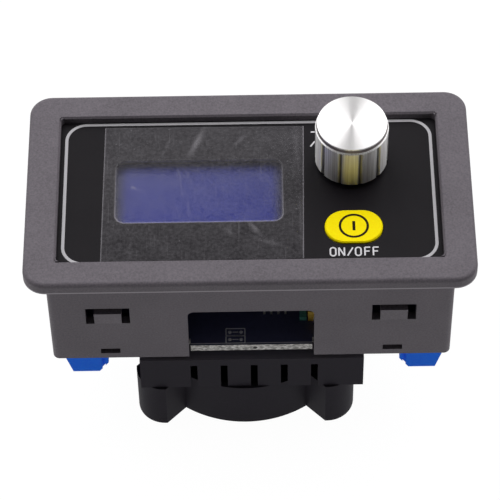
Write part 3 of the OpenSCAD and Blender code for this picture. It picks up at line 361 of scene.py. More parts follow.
material, tree, shader, place = blank("turned_aluminium")
offset = add(tree, VECTOR, {0: place, 1: KNOB_AXIS}, operation="SUBTRACT")
radius = add(tree, VECTOR, {0: offset, 1: (1, 1, 0)}, operation="MULTIPLY")
radius = add(tree, VECTOR, {0: radius}, operation="LENGTH")
level = add(tree, SPLIT, {"Vector": place}).outputs["Z"]
below_step = add(tree, RANGE, {0: level, 1: GROOVE_FOOT[0], 2: GROOVE_FOOT[1]})
below_top = add(tree, RANGE, {0: level, 1: GROOVE_TOP[0], 2: GROOVE_TOP[1]})
# painted shade: masks for the flutes and the groove under the rim, which get darker colours
sunk = add(tree, RANGE, {0: radius, 1: FLUTE_EDGE_R, 2: FLUTE_DEEP_R})
flute_shade = add(tree, MATH, {0: sunk, 1: below_step}, operation="MULTIPLY")
groove_shade = add(tree, MATH, {0: below_top, 1: below_step}, operation="SUBTRACT")
facing = add(tree, SPLIT, {"Vector": add(tree, COORD).outputs["Normal"]}).outputs["Z"]
facing = add(tree, RANGE, {0: facing, 1: UP_FROM, 2: UP_TO})
print("knob regions:", len(tree.nodes), "nodes")

# %% Turned aluminium: tones and grooves
WAVE_MM = math.pi / 10  # one wave of the wave texture at scale 1
RING_MM = 0.19635
PATCH_MM = 1.25
DRAWN_PER_MM = (5.0, 5.0, 0.05)
RING_HEIGHT = 0.0006

rings = add(tree, "ShaderNodeTexWave", {
    "Vector": offset, "Scale": WAVE_MM / RING_MM, "Distortion": 0.3, "Detail": 2.0, "Detail Scale": 2.0,
}, wave_type="RINGS", rings_direction="Z", wave_profile="SIN").outputs["Fac"]
patch = add(tree, NOISE, {"Vector": place, "Scale": 1 / PATCH_MM, "Detail": 3.0})
drawn = add(tree, VECTOR, {0: place, 1: DRAWN_PER_MM}, operation="MULTIPLY")
drawn = add(tree, NOISE, {"Vector": drawn, "Scale": 1.0, "Detail": 2.0})
drawn = add(tree, RANGE, {0: drawn, 1: 0.35, 2: 0.65})
top_tone = add(tree, MIX, {0: rings, 6: "#f4f2f2", 7: "#fdfbfb"}, data_type="RGBA")
side_tone = add(tree, MIX, {0: drawn, 6: "#dcd8d8", 7: "#ffffff"}, data_type="RGBA")
tone = add(tree, MIX, {0: facing, 6: side_tone, 7: top_tone}, data_type="RGBA")
# painted shade: the groove under the rim and, below, the flutes take darker colours
tone = add(tree, MIX, {0: groove_shade, 6: tone, 7: "#7c7474"}, data_type="RGBA")
top_rough = add(tree, RANGE, {0: patch, 1: LOW, 2: HIGH, 3: 0.28, 4: 0.32})
cut = add(tree, MATH, {0: rings, 1: facing}, operation="MULTIPLY")
feed(tree, shader, {
    "Base Color": add(tree, MIX, {0: flute_shade, 6: tone, 7: "#4a4444"}, data_type="RGBA"),
    "Metallic": add(tree, RANGE, {0: facing, 3: 0.86, 4: 1.0}),
    "Roughness": add(tree, MIX, {0: facing, 2: 0.36, 3: top_rough}),
    "Normal": add(tree, BUMP, {"Height": cut, "Distance": RING_HEIGHT * MM}),
    "Tangent": add(tree, "ShaderNodeTangent", direction_type="RADIAL", axis="Z"),
    "Anisotropic": 0.95, "Anisotropic Rotation": 0.25,
})
FINISH["spun_aluminium"] = material
print("turned aluminium:", len(tree.nodes), "nodes")

# %% [markdown]
# The other metals are plated, drawn or cut. They share one recipe: streaks along one axis, from
# drawing or sawing, move the colour and the roughness a little. The heat sink is black anodised, so
# its streaks run along the extrusion, which is Y. Real streaks are hundredths of a millimetre wide;
# these are drawn coarser, to show.

# %% Plated and anodised metals
STREAK_SPREAD = 0.06


def plated(name, dark, light, roughness, streak=(1.5, 1.5, 12.0), metallic=1.0, height=0.002,
           mirror=0.5):
    """Metal with streaks: noise on place * streak, which is in waves per millimetre on each axis."""
    material, tree, shader, place = blank(name)
    stretched = add(tree, VECTOR, {0: place, 1: streak}, operation="MULTIPLY")
    lines = add(tree, NOISE, {"Vector": stretched, "Scale": 1.0, "Detail": 3.0})
    feed(tree, shader, {
        "Base Color": add(tree, MIX, {0: lines, 6: dark, 7: light}, data_type="RGBA"),
        "Roughness": add(tree, RANGE, {
            0: lines, 1: LOW, 2: HIGH, 3: roughness - STREAK_SPREAD, 4: roughness + STREAK_SPREAD}),
        "Normal": add(tree, BUMP, {"Height": lines, "Distance": height * MM}),
        "Metallic": metallic, "Specular IOR Level": mirror,
    })
    return material


# Columns: name, darker and lighter tone, roughness, streaks per mm, metallic, their height in mm,
# specular level.
METALS = {
    # Dull black dye in the oxide, with long streaks: it looks like a dielectric.
    "black_anodised": ("black_anodised_extrusion", "#2a272e", "#322f36", 0.5, (3.0, 0.25, 3.0),
                       0.0, 0.004, 0.04),
    # Bright plating: cool grey, a warmer brass tone below, and duller tin.
    "plated_steel": ("nickel_plated_steel", "#a9a7a2", "#c4c2bd", 0.3),
    "brass_plated": ("nickel_plated_brass", "#b3ab93", "#c9c2aa", 0.3),
    "tinned_brass": ("tinned_brass", "#b5b2ab", "#c6c3bc", 0.35),
    # Bare copper-coloured strip, rolled along X.
    "shunt_alloy": ("bare_resistance_alloy", "#a5835f", "#b8946d", 0.35, (0.5, 6.0, 6.0)),
    # Porous, brownish and dull.
    "sintered_bronze": ("sintered_bronze", "#8f6a42", "#a67e52", 0.5, (4.0, 4.0, 4.0)),
    # Sheets stacked along the axis show as level lines.
    "core_steel": ("stacked_laminations", "#6c6b6d", "#8b8a8c", 0.45, (0.3, 0.3, 6.0)),
    # Red-brown varnished wire in level turns.
    "copper_winding": ("enamelled_copper", "#8a4018", "#b0602b", 0.3, (0.5, 0.5, 7.0)),
    # Nearly black, with an oily sheen.
    "black_steel": ("black_oxide_steel", "#17171a", "#232326", 0.4, (3.0, 3.0, 3.0), 0.7),
    # Pale can with drawing lines round it.
    "supply_capacitor": ("drawn_aluminium_can", "#b9b8b8", "#d2d1d1", 0.3, (1.0, 1.0, 6.0)),
}
for slot, row in METALS.items():
    FINISH[slot] = plated(*row)
print("metals:", len(METALS))

# %% [markdown]
# The heat sink's upward faces are painted paler than the dyed sides: painted light on its top,
# which lies in shade under the board. The direction of a face tells it from the others.

# %% Painted light on the heat sink's top
tree = FINISH["black_anodised"].node_tree
shader = tree.nodes[SHADER]
painted_top_light = add(tree, SPLIT, {"Vector": add(tree, COORD).outputs["Normal"]}).outputs["Z"]
painted_top_light = add(tree, RANGE, {0: painted_top_light, 1: UP_FROM, 2: UP_TO})
tone = shader.inputs["Base Color"].links[0].from_socket
# painted light: faces that look up turn a paler grey
tone = add(tree, MIX, {0: painted_top_light, 6: tone, 7: "#78747a"}, data_type="RGBA")
feed(tree, shader, {"Base Color": tone})
print("finishes:", len(FINISH))

# %% [markdown]
# ## Boards
# A board is glass laminate under dark blue solder resist. Its faces carry the resist; its cut edges
# show the raw laminate, grey-white and mottled by the fibres. The face's direction tells them
# apart, so no mesh is split. A light line runs along the tongue's edge, and its cut edge has one
# dark nick, where the panel's last bridge was broken off.

# %% Solder resist over laminate
TONGUE_Y = -19.1
EDGE_LINE = 0.4
NICK = (0.67, TONGUE_Y, 22.6)
NICK_R = 0.46, 0.3
LINE_HALF = 0.1, 0.06
FIBRES_PER_MM = (1.4, 1.4, 3.0)
WEAVE_MM = 5 / 6
FIBRE_HEIGHT = 0.02

material, tree, shader, place = blank("solder_resist_on_laminate")
flat = add(tree, SPLIT, {"Vector": add(tree, COORD).outputs["Normal"]}).outputs["Z"]
flat = add(tree, MATH, {0: flat}, operation="ABSOLUTE")
fibre = add(tree, VECTOR, {0: place, 1: FIBRES_PER_MM}, operation="MULTIPLY")
mottle = add(tree, NOISE, {"Vector": fibre, "Scale": 1.0, "Detail": 4.0, "Roughness": 0.7})
weave = add(tree, NOISE, {"Vector": place, "Scale": 1 / WEAVE_MM, "Detail": 2.0})
fibres = add(tree, RANGE, {0: mottle, 1: 0.38, 2: 0.6})
laminate = add(tree, MIX, {0: fibres, 6: "#6c6a66", 7: "#eceae6"}, data_type="RGBA")
nick = add(tree, VECTOR, {0: place, 1: NICK}, operation="DISTANCE")
nick = add(tree, RANGE, {0: nick, 1: NICK_R[0], 2: NICK_R[1]})
laminate = add(tree, MIX, {0: nick, 6: laminate, 7: "#2e2c2a"}, data_type="RGBA")
resist = add(tree, MIX, {0: weave, 6: "#4a4b68", 7: "#585a78"}, data_type="RGBA")
depth = add(tree, SPLIT, {"Vector": place}).outputs["Y"]
line = add(tree, MATH, {0: depth, 1: TONGUE_Y + EDGE_LINE}, operation="SUBTRACT")
line = add(tree, MATH, {0: line}, operation="ABSOLUTE")
line = add(tree, RANGE, {0: line, 1: LINE_HALF[0], 2: LINE_HALF[1]})
face = add(tree, MIX, {0: line, 6: resist, 7: "#e4e4ea"}, data_type="RGBA")
on_face = add(tree, RANGE, {0: flat, 1: 0.4, 2: 0.6})
feed(tree, shader, {
    "Base Color": add(tree, MIX, {0: on_face, 6: laminate, 7: face}, data_type="RGBA"),
    "Roughness": add(tree, RANGE, {0: flat, 1: 0.4, 2: 0.6, 3: 0.8, 4: 0.3}),
    "Normal": add(tree, BUMP, {"Height": mottle, "Distance": FIBRE_HEIGHT * MM, "Strength": 0.6}),
})
FINISH["blue_laminate"] = material
print("board finish:", len(tree.nodes), "nodes")

# %% [markdown]
# ## Front sheet, pane and display
# The front sheet is polycarbonate printed black from behind, with a fine matt texture, so it
# mirrors little. The pane is clear acrylic and the display is blue glass with painted shade: its
# blue drifts greyer towards the top, where the window's upper wall shades it, and fades to grey at
# the window's sides. A lit display would be an emitter; this one is off, so it is only coloured.

# %% Front sheet
SHEET_GRAIN_MM, SHEET_CLOUD_MM = 1 / 3, 25 / 3
SHEET_GRAIN_HEIGHT = 0.004
SHEET_IOR = 1.58

material, tree, shader, place = blank("printed_polycarbonate")
grain = add(tree, NOISE, {"Vector": place, "Scale": 1 / SHEET_GRAIN_MM, "Detail": 2.0})
cloud = add(tree, NOISE, {"Vector": place, "Scale": 1 / SHEET_CLOUD_MM, "Detail": 2.0})
feed(tree, shader, {
    "Base Color": add(tree, MIX, {0: cloud, 6: "#110e13", 7: "#181519"}, data_type="RGBA"),
    "Roughness": add(tree, RANGE, {0: grain, 1: LOW, 2: HIGH, 3: 0.44, 4: 0.54}),
    "Normal": add(tree, BUMP, {"Height": grain, "Distance": SHEET_GRAIN_HEIGHT * MM}),
    "IOR": SHEET_IOR, "Specular IOR Level": 0.095,
})
FINISH["black_film"] = material
print("front sheet:", len(tree.nodes), "nodes")

# %% Display glass
WINDOW_AT = np.array([-8.9, 0.2])
SIDE_SHADE_FROM, SIDE_SHADE_TO = 12.9, 14.8
DRIFT_FROM_Y, DRIFT_TO_Y = -6.0, 7.0
SPECK_MM = 4.0

material, tree, shader, place = blank("blue_display_glass")
axes = add(tree, SPLIT, {"Vector": place})
speck = add(tree, NOISE, {"Vector": place, "Scale": 1 / SPECK_MM, "Detail": 2.0})
# painted shade: the blue drifts greyer towards the top, with a little noise
top_shade_drift = add(tree, MATH, {0: axes.outputs["Y"], 1: speck}, operation="ADD")
top_shade_drift = add(tree, RANGE, {0: top_shade_drift, 1: DRIFT_FROM_Y, 2: DRIFT_TO_Y})
blue = add(tree, MIX, {0: top_shade_drift, 6: "#30378f", 7: "#42478c"}, data_type="RGBA")
# painted shade: grey towards the window's left and right sides
side = add(tree, MATH, {0: axes.outputs["X"], 1: float(WINDOW_AT[0])}, operation="SUBTRACT")
side = add(tree, MATH, {0: side}, operation="ABSOLUTE")
side = add(tree, RANGE, {0: side, 1: SIDE_SHADE_FROM, 2: SIDE_SHADE_TO})
feed(tree, shader, {
    "Base Color": add(tree, MIX, {0: side, 6: blue, 7: "#3c3d58"}, data_type="RGBA"),
    "Roughness": add(tree, RANGE, {0: speck, 1: LOW, 2: HIGH, 3: 0.14, 4: 0.2}),
    "Specular IOR Level": 0.3,
})
FINISH["display_glass"] = material
print("display glass:", len(tree.nodes), "nodes")

# %% Clear pane
SMEAR_MM = 10 / 3
ACRYLIC_IOR = 1.49

material, tree, shader, place = blank("clear_acrylic")
smear = add(tree, NOISE, {"Vector": place, "Scale": 1 / SMEAR_MM, "Detail": 3.0})
feed(tree, shader, {
    "Base Color": add(tree, MIX, {0: smear, 6: "#2c2e34", 7: "#3a3c44"}, data_type="RGBA"),
    "Roughness": add(tree, RANGE, {0: smear, 1: LOW, 2: HIGH, 3: 0.05, 4: 0.1}),
    "Alpha": 0.06, "IOR": ACRYLIC_IOR,
})
FINISH["clear_pane"] = material
print("finishes:", len(FINISH))

# %% [markdown]
# ## Finishes on the solids
# The record names a finish for each solid. A few solids have a finish of their own, under their
# node's name.

# %% Dress the solids
undressed = []
for sub in frame["record"]["subparts"]:
    name, slot = sub["node"], sub["material_slot"]
    finish = FINISH.get(name) or FINISH.get(slot)
    if finish:
        NODES[name].data.materials.clear()
        NODES[name].data.materials.append(finish)
    else:
        undressed.append(name)
print("undressed:", undressed)

# %% [markdown]
# ## Ink
# The front sheet carries a light border line, two short marks beside the knob and the words ON/OFF;
# the key carries the common on/off sign. They could be painted in the sheet's material, but screen
# ink stands a few hundredths of a millimetre proud, so each is a thin solid stroke on the surface
# below it.

# %% Printing ink
Z_SHEET = 43.8
INK_T = 0.03
INK_SUNK = 0.01
COVER_MM = 2 / 3


def inked(name, dark, light):
    """Screen ink: slightly uneven cover, drawn as slow noise between two tones."""
    material, tree, shader, place = blank(name)
    cover = add(tree, NOISE, {"Vector": place, "Scale": 1 / COVER_MM, "Detail": 3.0})
    feed(tree, shader, {
        "Base Color": add(tree, MIX, {0: cover, 6: dark, 7: light}, data_type="RGBA"),
        "Roughness": add(tree, RANGE, {0: cover, 1: LOW, 2: HIGH, 3: 0.5, 4: 0.6}),
        "Specular IOR Level": 0.1,
    })
    return material


GREY_INK = inked("light_grey_ink", "#b4b2b6", "#c0bec2")
WHITE_INK = inked("white_ink", "#d0ced2", "#dcdade")
BROWN_INK = inked("black_brown_ink", "#1a1004", "#241708")
print("inks:", GREY_INK.name, WHITE_INK.name, BROWN_INK.name)


# %% Strokes
def stroke(width, thick=INK_T):
    """Profile of an ink line: a flat bar of that width, from just under the surface to its top."""
    half = width / 2
    return [(-half, -INK_SUNK), (half, -INK_SUNK), (half, thick), (-half, thick)]


def round_loop(half_w, half_h, radius, z, per_corner=16):
    """Rounded rectangle as a closed path: four quarters of corner + radius * (cos t, sin t)."""
    quarter = np.linspace(0, math.pi / 2, per_corner)
    turn = (quarter[None, :] + math.pi / 2 * np.arange(4)[:, None]).ravel()
    corner = np.array([[1, 1], [-1, 1], [-1, -1], [1, -1]]) * [half_w - radius, half_h - radius]
    corner = np.repeat(corner, per_corner, 0)
    return np.column_stack([corner + radius * np.column_stack([np.cos(turn), np.sin(turn)]),
                            np.full(turn.size, z)])


def straight(a, b, z, width, thick=INK_T):
    """A straight ink bar from a to b."""
    path = np.column_stack([np.linspace(a, b, 2), np.full(2, z)])
    return carried(path, stroke(width, thick)), False


print("ink stands", INK_T, "mm proud")


# %% Border line and knob marks
BORDER = np.array([33.0, 15.95, 3.9])  # half width, half height and corner radius of the outer edge
LINE_W = 0.55
MARKS = [((11.25, 13.33), (12.1, 13.33)), ((11.13, 9.95), (11.95, 11.15))]
MARK_W = 0.28

loop = round_loop(*(BORDER - LINE_W / 2), Z_SHEET)
make_piece("border_line", [(carried(loop, stroke(LINE_W), closed=True), True)], GREY_INK, "module")
marks = [straight(a, b, Z_SHEET, MARK_W) for a, b in MARKS]
make_piece("knob_marks", marks, WHITE_INK, "module")

# %% [markdown]
# The on/off sign is a ring and an upright bar, carried by the key, so it moves when the key is
# pressed.

# %% Key sign
Z_KEY = 44.2
KEY = np.array([18.3, -8.5])
SIGN_R, RING_STEPS = 2.44, 64
RING_W, BAR_W = 0.42, 0.5
BAR_HALF = (0, 1.02)

turn = np.linspace(0, 2 * math.pi, RING_STEPS, endpoint=False)
ring = np.column_stack([KEY + SIGN_R * np.column_stack([np.cos(turn), np.sin(turn)]),
                        np.full(RING_STEPS, Z_KEY)])
make_piece("key_sign", [
    (carried(ring, stroke(RING_W), closed=True), True),
    straight(KEY - BAR_HALF, KEY + BAR_HALF, Z_KEY, BAR_W),
], BROWN_INK, "key")

# %% [markdown]
# The words under the key are in a narrow sans. A font would bring its own shapes, so the few
# letters are drawn: O is a tall loop, and N, F and the slash are bars. Bars that cross get slightly
# different thicknesses, because two faces in one plane would flicker.

# %% Words under the key
LETTER_W, LETTER_H, LETTER_INK = 1.22, 2.05, 0.27
LETTER_LOW = -14.9
LETTER_AT = {"O": (13.9, 18.3), "N": (15.4,), "F": (19.93, 21.4), "/": (16.9,)}
BARS = {
    "N": [((0, 0), (0, 1)), ((1, 0), (1, 1)), ((0, 1), (1, 0))],
    "F": [((0, 0), (0, 1)), ((0, 1), (1, 1)), ((0, 0.52), (0.85, 0.52))],
    "/": [((0, 0), (1, 1))],
}
BAR_STEP = 0.002
NEAR_ROUND = 0.01  # leaves each O a short straight at its ends


def letter_bars(letter, x):
    """The bars of one letter: corner + unit end * box, half a line inside the letter's edges."""
    box = np.array([LETTER_W - LETTER_INK, LETTER_H - LETTER_INK])
    corner = np.array([x, LETTER_LOW]) + LETTER_INK / 2
    return [straight(corner + a * box, corner + b * box, Z_SHEET, LETTER_INK, INK_T + BAR_STEP * k)
            for k, (a, b) in enumerate(np.array(BARS[letter]))]


half_w, half_h = (LETTER_W - LETTER_INK) / 2, (LETTER_H - LETTER_INK) / 2
tall = round_loop(half_w, half_h, half_w - NEAR_ROUND, Z_SHEET)
tall += (LETTER_W / 2, LETTER_LOW + LETTER_H / 2, 0)
words = [(carried(tall + (x, 0, 0), stroke(LETTER_INK), closed=True), True) for x in LETTER_AT["O"]]
for letter in BARS:
    for x in LETTER_AT[letter]:
        words += letter_bars(letter, x)
make_piece("switch_words", words, WHITE_INK, "module")

# %% [markdown]
# ## Peel-off film
# A thin film still covers the display side of the front. It lies nearly flat and is hazy, scuffed
# and creased. A solid plate with one alpha looks like glass, so the haze is a low alpha that noise
# moves: slow clouds, a fine mottle, hair scratches along two directions and specks of dust. What
# belongs to a place on the sheet, the cut edges, a painted highlight round the window's edge and a
# few smears, is worked out with numpy and kept as an attribute of the mesh.

# %% Film finish
HAZE_MM, MOTTLE_MM, DUST_MM = 10 / 3, 0.625, 20 / 11
HAIRS = ((28, (3.0, 0.12, 1.0)), (-62, (4.0, 0.2, 1.0)))  # angle, and waves per mm on each axis

material, tree, shader, place = blank("scuffed_peel_film")
haze = add(tree, NOISE, {"Vector": place, "Scale": 1 / HAZE_MM, "Detail": 4.0, "Roughness": 0.6})
mottle = add(tree, NOISE, {"Vector": place, "Scale": 1 / MOTTLE_MM, "Detail": 3.0, "Roughness": 0.7})
dust = add(tree, "ShaderNodeTexVoronoi", {"Vector": place, "Scale": 1 / DUST_MM, "Randomness": 1.0})
layers = [add(tree, RANGE, {0: haze, 1: LOW, 2: HIGH, 3: 0.025, 4: 0.05}),
          add(tree, RANGE, {0: mottle, 1: 0.38, 2: 0.66, 3: 0.0, 4: 0.045})]
for degrees, per_mm in HAIRS:
    turned = add(tree, "ShaderNodeMapping", {
        "Vector": place, "Rotation": (0, 0, math.radians(degrees)), "Scale": per_mm})
    hair = add(tree, NOISE, {"Vector": turned, "Scale": 1.0, "Detail": 2.0})
    layers.append(add(tree, RANGE, {0: hair, 1: 0.66, 2: 0.76, 3: 0.0, 4: 0.05}))
layers.append(add(tree, RANGE, {0: dust, 1: 0.08, 2: 0.03, 3: 0.0, 4: 0.16}))
cover = add(tree, "ShaderNodeAttribute", attribute_name="wear_and_highlight").outputs["Fac"]
for layer in layers:
    cover = add(tree, MATH, {0: cover, 1: layer}, operation="ADD")
feed(tree, shader, {
    "Alpha": cover,
    "Base Color": add(tree, MIX, {0: haze, 6: "#c9c4cc", 7: "#dedae2"}, data_type="RGBA"),
    "Roughness": add(tree, RANGE, {0: haze, 1: LOW, 2: HIGH, 3: 0.3, 4: 0.42}),
})
FILM = material
print("film finish:", len(tree.nodes), "nodes")

# %% Film sheet
FILM_CORNERS = np.array([[-26.1, -15.35], [9.4, -15.2], [-25.85, 14.95], [10.0, 14.75]])
FILM_GRID = 300, 250
RIPPLE_MM = 0.012  # waves of about 7 by 9 mm
TOP_HAZE = 0.016

u, v = np.meshgrid(*(np.linspace(0, 1, n) for n in FILM_GRID), indexing="ij")
weights = ((1 - u) * (1 - v), u * (1 - v), (1 - u) * v, u * v)
sheet = sum(w[..., None] * c for w, c in zip(weights, FILM_CORNERS))
x, y = sheet[..., 0], sheet[..., 1]
height = RIPPLE_MM * (1 + np.sin(x * 0.9 + 0.4 * y) * np.sin(y * 0.7))
wear_and_highlight = TOP_HAZE * (2 * v - 1)
print("film grid:", sheet.shape)

# %% [markdown]
# A smear or ridge is a bell across a line that fades at its ends: exp(-(across/width)^2 -
# (along/length)^2). Each lifts the sheet and whitens it. The painted highlight round the window's
# edge is a bell on the distance to a rounded rectangle; it whitens the film and doesn't lift it.

# %% Ridges and smears
# Columns: x, y, angle in degrees, length and width, how proud it stands, how much it whitens.
RIDGES = [
    (-9.3, 11.2, 68, 3.0, 0.5, 0.10, 0.14), (-1.5, 11.6, 52, 1.5, 0.35, 0.07, 0.08),
    (-14.5, 10.8, 70, 2.0, 0.3, 0.05, 0.03), (0.8, -8.4, 125, 1.6, 0.4, 0.09, 0.12),
    (8.6, 9.5, 92, 4.0, 0.5, 0.06, 0.05), (-3.5, -9.2, 130, 1.2, 0.3, 0.07, 0.05),
    (3.5, -11.6, 160, 2.4, 0.5, 0.06, 0.05), (-21.0, -12.0, 80, 2.5, 0.4, 0.05, 0.02),
    (-12.3, 2.6, 98, 3.4, 0.2, 0.02, 0.05), (-10.6, -4.4, 95, 2.0, 0.2, 0.02, 0.04),
    (-20.6, 1.1, 140, 0.6, 0.3, 0.02, 0.14), (9.0, -6.0, 90, 5.0, 0.2, 0.02, 0.06),
]
for at_x, at_y, angle, length, width, proud, white in RIDGES:
    c, s = math.cos(math.radians(angle)), math.sin(math.radians(angle))
    along, across = (x - at_x) * c + (y - at_y) * s, (y - at_y) * c - (x - at_x) * s
    bell = np.exp(-(across / width) ** 2 - (along / length) ** 2)
    height += proud * bell
    wear_and_highlight += white * bell
print("ridges:", len(RIDGES))

# %% Painted highlight round the window, and cut edges
WINDOW_HALF, WINDOW_R = np.array([14.9, 7.1]), 1.8
LINE_BELL = 0.13
HIGHLIGHT_BASE, HIGHLIGHT_FOOT, HIGHLIGHT_SIDES, HIGHLIGHT_MOST = 0.03, 0.2, 0.13, 0.24
HIGHLIGHT_IN = 0.05
EDGE_LEFT, EDGE_RIGHT, EDGE_TOP = 0.24, 0.3, 0.05

reach = np.abs(sheet - WINDOW_AT) - (WINDOW_HALF - WINDOW_R)
away = np.linalg.norm(np.maximum(reach, 0), axis=-1) + np.minimum(reach.max(-1), 0) - WINDOW_R
lower, righter = (WINDOW_AT[1] - y) / WINDOW_HALF[1], (x - WINDOW_AT[0]) / WINDOW_HALF[0]
at_foot = HIGHLIGHT_FOOT * np.clip(lower, 0, 1) ** 3
at_sides = HIGHLIGHT_SIDES * np.abs(righter) ** 5 * (1 - np.clip(-lower, 0, 1) ** 2)
# painted highlight: a whiter line round the window's edge, strongest at its foot and sides
window_highlight = np.clip(HIGHLIGHT_BASE + at_foot + at_sides, 0, HIGHLIGHT_MOST)
wear_and_highlight += window_highlight * np.exp(-((away + HIGHLIGHT_IN) / LINE_BELL) ** 2)
width_mm, tall_mm = (np.linalg.norm(FILM_CORNERS[k] - FILM_CORNERS[0]) for k in (1, 2))
edges = ((u * width_mm, EDGE_LEFT), ((1 - u) * width_mm, EDGE_RIGHT), ((1 - v) * tall_mm, EDGE_TOP))
for gap, white in edges:
    wear_and_highlight += white * np.exp(-(gap / LINE_BELL) ** 2)
print("film wear up to", round(float(wear_and_highlight.max()), 2))

# %% Film mesh
FILM_LIFT = 0.01
grid = np.dstack([sheet, Z_SHEET + FILM_LIFT + height])
n, m = grid.shape[:2]
i, j = np.meshgrid(np.arange(n - 1), np.arange(m - 1), indexing="ij")
first = i * m + j
quads = np.stack([first, first + m, first + m + 1, first + 1], axis=-1).reshape(-1, 4)
mesh = bpy.data.meshes.new("peel_film")
mesh.from_pydata(grid.reshape(-1, 3) * MM, [], quads.tolist())
film = finish_piece("peel_film", mesh, FILM, "module", smooth=True)
wear_and_highlight_values = film.data.attributes.new("wear_and_highlight", "FLOAT", "POINT").data
wear_and_highlight_values.foreach_set("value", wear_and_highlight.astype(np.float32).ravel())
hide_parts("protective_film")

# %% [markdown]
# ## Marks on the main board
# Two bare footprints show through the notch in the lower wall: white outlines with a short bar and
# a small tinned pad at each end of it. Their lettering is left off. The pads are low domes, as
# melted solder leaves them.

# %% Board outlines
Z_BOARD_TOP = 23.5
PRINTS = [(-2.85, -16.28), (-2.85, -17.9)]
PRINT_HALF_W, PRINT_HALF_H, PRINT_R = 1.7, 0.78, 0.05
OUTLINE_W, DASH_HALF, DASH_W = 0.17, 0.55, 0.14
BOARD_INK = inked("board_ink", "#f2f2f4", "#ffffff")

print_loop = round_loop(PRINT_HALF_W, PRINT_HALF_H, PRINT_R, Z_BOARD_TOP, 3)
outlines = [(carried(print_loop + (x, y, 0), stroke(OUTLINE_W), closed=True), True) for x, y in PRINTS]
outlines += [straight((x - DASH_HALF, y), (x + DASH_HALF, y), Z_BOARD_TOP, DASH_W) for x, y in PRINTS]
make_piece("board_outlines", outlines, BOARD_INK, "module")


# %% Board pads
def dome(x, y, z, radius, height, n=20, rise=6):
    """Low round pad: radius * cos t out and height * sin t up, for t from 0 to a right angle."""
    turn = np.linspace(0, 2 * math.pi, n, endpoint=False)
    lift = np.linspace(0, math.pi / 2 - 0.05, rise)[:, None]
    out = radius * np.cos(lift)
    return np.stack([x + out * np.cos(turn), y + out * np.sin(turn),
                     z + height * np.sin(lift) + 0 * turn], axis=-1), False


PAD_OUT, PAD_R, PAD_H = 1.02, 0.34, 0.12
SOLDER = plated("fresh_solder", "#eeecea", "#ffffff", 0.25, metallic=0.2)

pads = [dome(x + side * PAD_OUT, y, Z_BOARD_TOP - INK_SUNK, PAD_R, PAD_H)
        for x, y in PRINTS for side in (-1, 1)]
make_piece("board_pads", pads, SOLDER, "module", smooth=True)

# %% [markdown]
# ## Light and stage
# A pale lit table, two large soft boxes pitched like a roof, and a dim sky. The narrow dark strip
# between the boxes makes the dark spokes on the knob. The level is plain: a grey written on a flat
# upward face renders about as it is written. The floor is white to the eye, and to metal and glass,
# and keeps a faint shadow. Under the fan's bore it doesn't glow, so no light comes up through the
# blades.

# %% Floor
FAN_X, FAN_BORE_R = -1.2, 18.9
TABLE_GLOW, MIRROR_GLOW, MOST_GLOW = 0.38, 1.0, 0.93
GLOW_STRENGTH = 1.05
FLOOR_HALF_M = 3.0
CORNERS = np.array([(-1, -1, 0), (1, -1, 0), (1, 1, 0), (-1, 1, 0)])

stage = bpy.data.materials.new("white_sweep")
stage.use_nodes = True
tree = stage.node_tree
shader = tree.nodes[SHADER]
feed(tree, shader, {"Base Color": "#e1e1e1", "Roughness": 0.9})
rays = add(tree, "ShaderNodeLightPath").outputs
through = rays["Is Transmission Ray"]
seen = add(tree, MATH, {0: rays["Is Camera Ray"], 1: through}, operation="MAXIMUM")
mirrored = add(tree, MATH, {0: rays["Is Glossy Ray"], 1: MIRROR_GLOW}, operation="MULTIPLY")
seen = add(tree, MATH, {0: seen, 1: mirrored}, operation="MAXIMUM")
seen = add(tree, MATH, {0: seen, 1: TABLE_GLOW}, operation="MAXIMUM")
spot = add(tree, COORD).outputs["Object"]
ground = add(tree, VECTOR, {0: spot, "Scale": 1 / MM}, operation="SCALE")
reach = add(tree, VECTOR, {0: ground, 1: (FAN_X, 0, 0)}, operation="DISTANCE")
open_floor = add(tree, RANGE, {0: reach, 1: FAN_BORE_R, 2: FAN_BORE_R + 1.0, 3: 0.0, 4: MOST_GLOW})
share = add(tree, MATH, {0: seen, 1: open_floor}, operation="MULTIPLY")
glow = add(tree, "ShaderNodeEmission", {"Color": "#ffffff", "Strength": GLOW_STRENGTH})
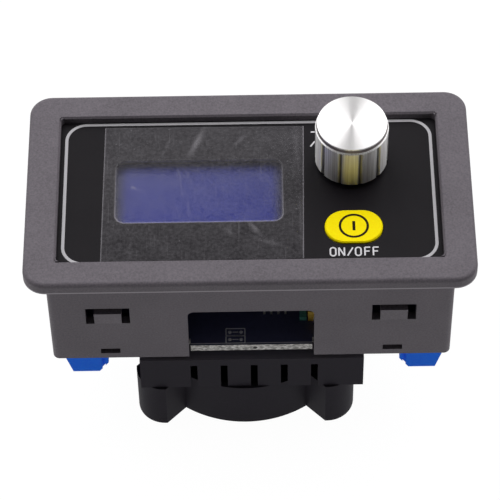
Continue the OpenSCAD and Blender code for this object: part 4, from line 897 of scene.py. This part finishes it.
mixed = add(tree, "ShaderNodeMixShader", {0: share, 1: shader, 2: glow})
feed(tree, tree.nodes["Material Output"], {"Surface": mixed})
mesh = bpy.data.meshes.new("floor")
mesh.from_pydata(CORNERS * FLOOR_HALF_M, [], [(0, 1, 2, 3)])
mesh.materials.append(stage)
floor = bpy.data.objects.new("floor", mesh)
bpy.context.scene.collection.objects.link(floor)
print("floor:", 2 * FLOOR_HALF_M, "m wide")

# %% Soft boxes
BOX_SIZE, BOX_WATTS = (1.1, 0.88), 6.0
SOFT_BOXES = {
    "left_box": ((-0.438, 0.5, 0.6), (-0.038, 0.5, 0.03)),
    "right_box": ((0.438, 0.5, 0.6), (0.038, 0.5, 0.03)),
}
for name, (at, aim) in SOFT_BOXES.items():
    lamp = bpy.data.lights.new(name, "AREA")
    lamp.shape = "RECTANGLE"
    lamp.size, lamp.size_y = BOX_SIZE
    lamp.energy = BOX_WATTS
    box = bpy.data.objects.new(name, lamp)
    back = np.array(at) - np.array(aim)
    back /= np.linalg.norm(back)
    across = np.cross([0, 0, 1], back)
    across /= np.linalg.norm(across)
    pose = np.eye(4)
    pose[:3, :] = np.stack([across, np.cross(back, across), back, at], axis=1)
    box.matrix_world = Matrix(pose.tolist())
    bpy.context.scene.collection.objects.link(box)
print("lights:", list(SOFT_BOXES))

# %% Sky
SKY_FRONT, SKY_BACK = 0.06, 0.3
world = bpy.data.worlds.new("studio")
bpy.context.scene.world = world
world.use_nodes = True
tree = world.node_tree
way = add(tree, SPLIT, {"Vector": add(tree, COORD).outputs["Generated"]}).outputs["Y"]
dim = add(tree, RANGE, {0: way, 1: -0.6, 2: 0.6, 3: SKY_FRONT, 4: SKY_BACK})
rays = add(tree, "ShaderNodeLightPath").outputs
seen = add(tree, MATH, {0: rays["Is Camera Ray"], 1: dim}, operation="MAXIMUM")
feed(tree, tree.nodes["Background"], {"Color": "#ffffff", "Strength": seen})
bpy.context.scene.view_settings.view_transform = "Standard"
print("sky from", SKY_FRONT, "in front to", SKY_BACK, "behind")
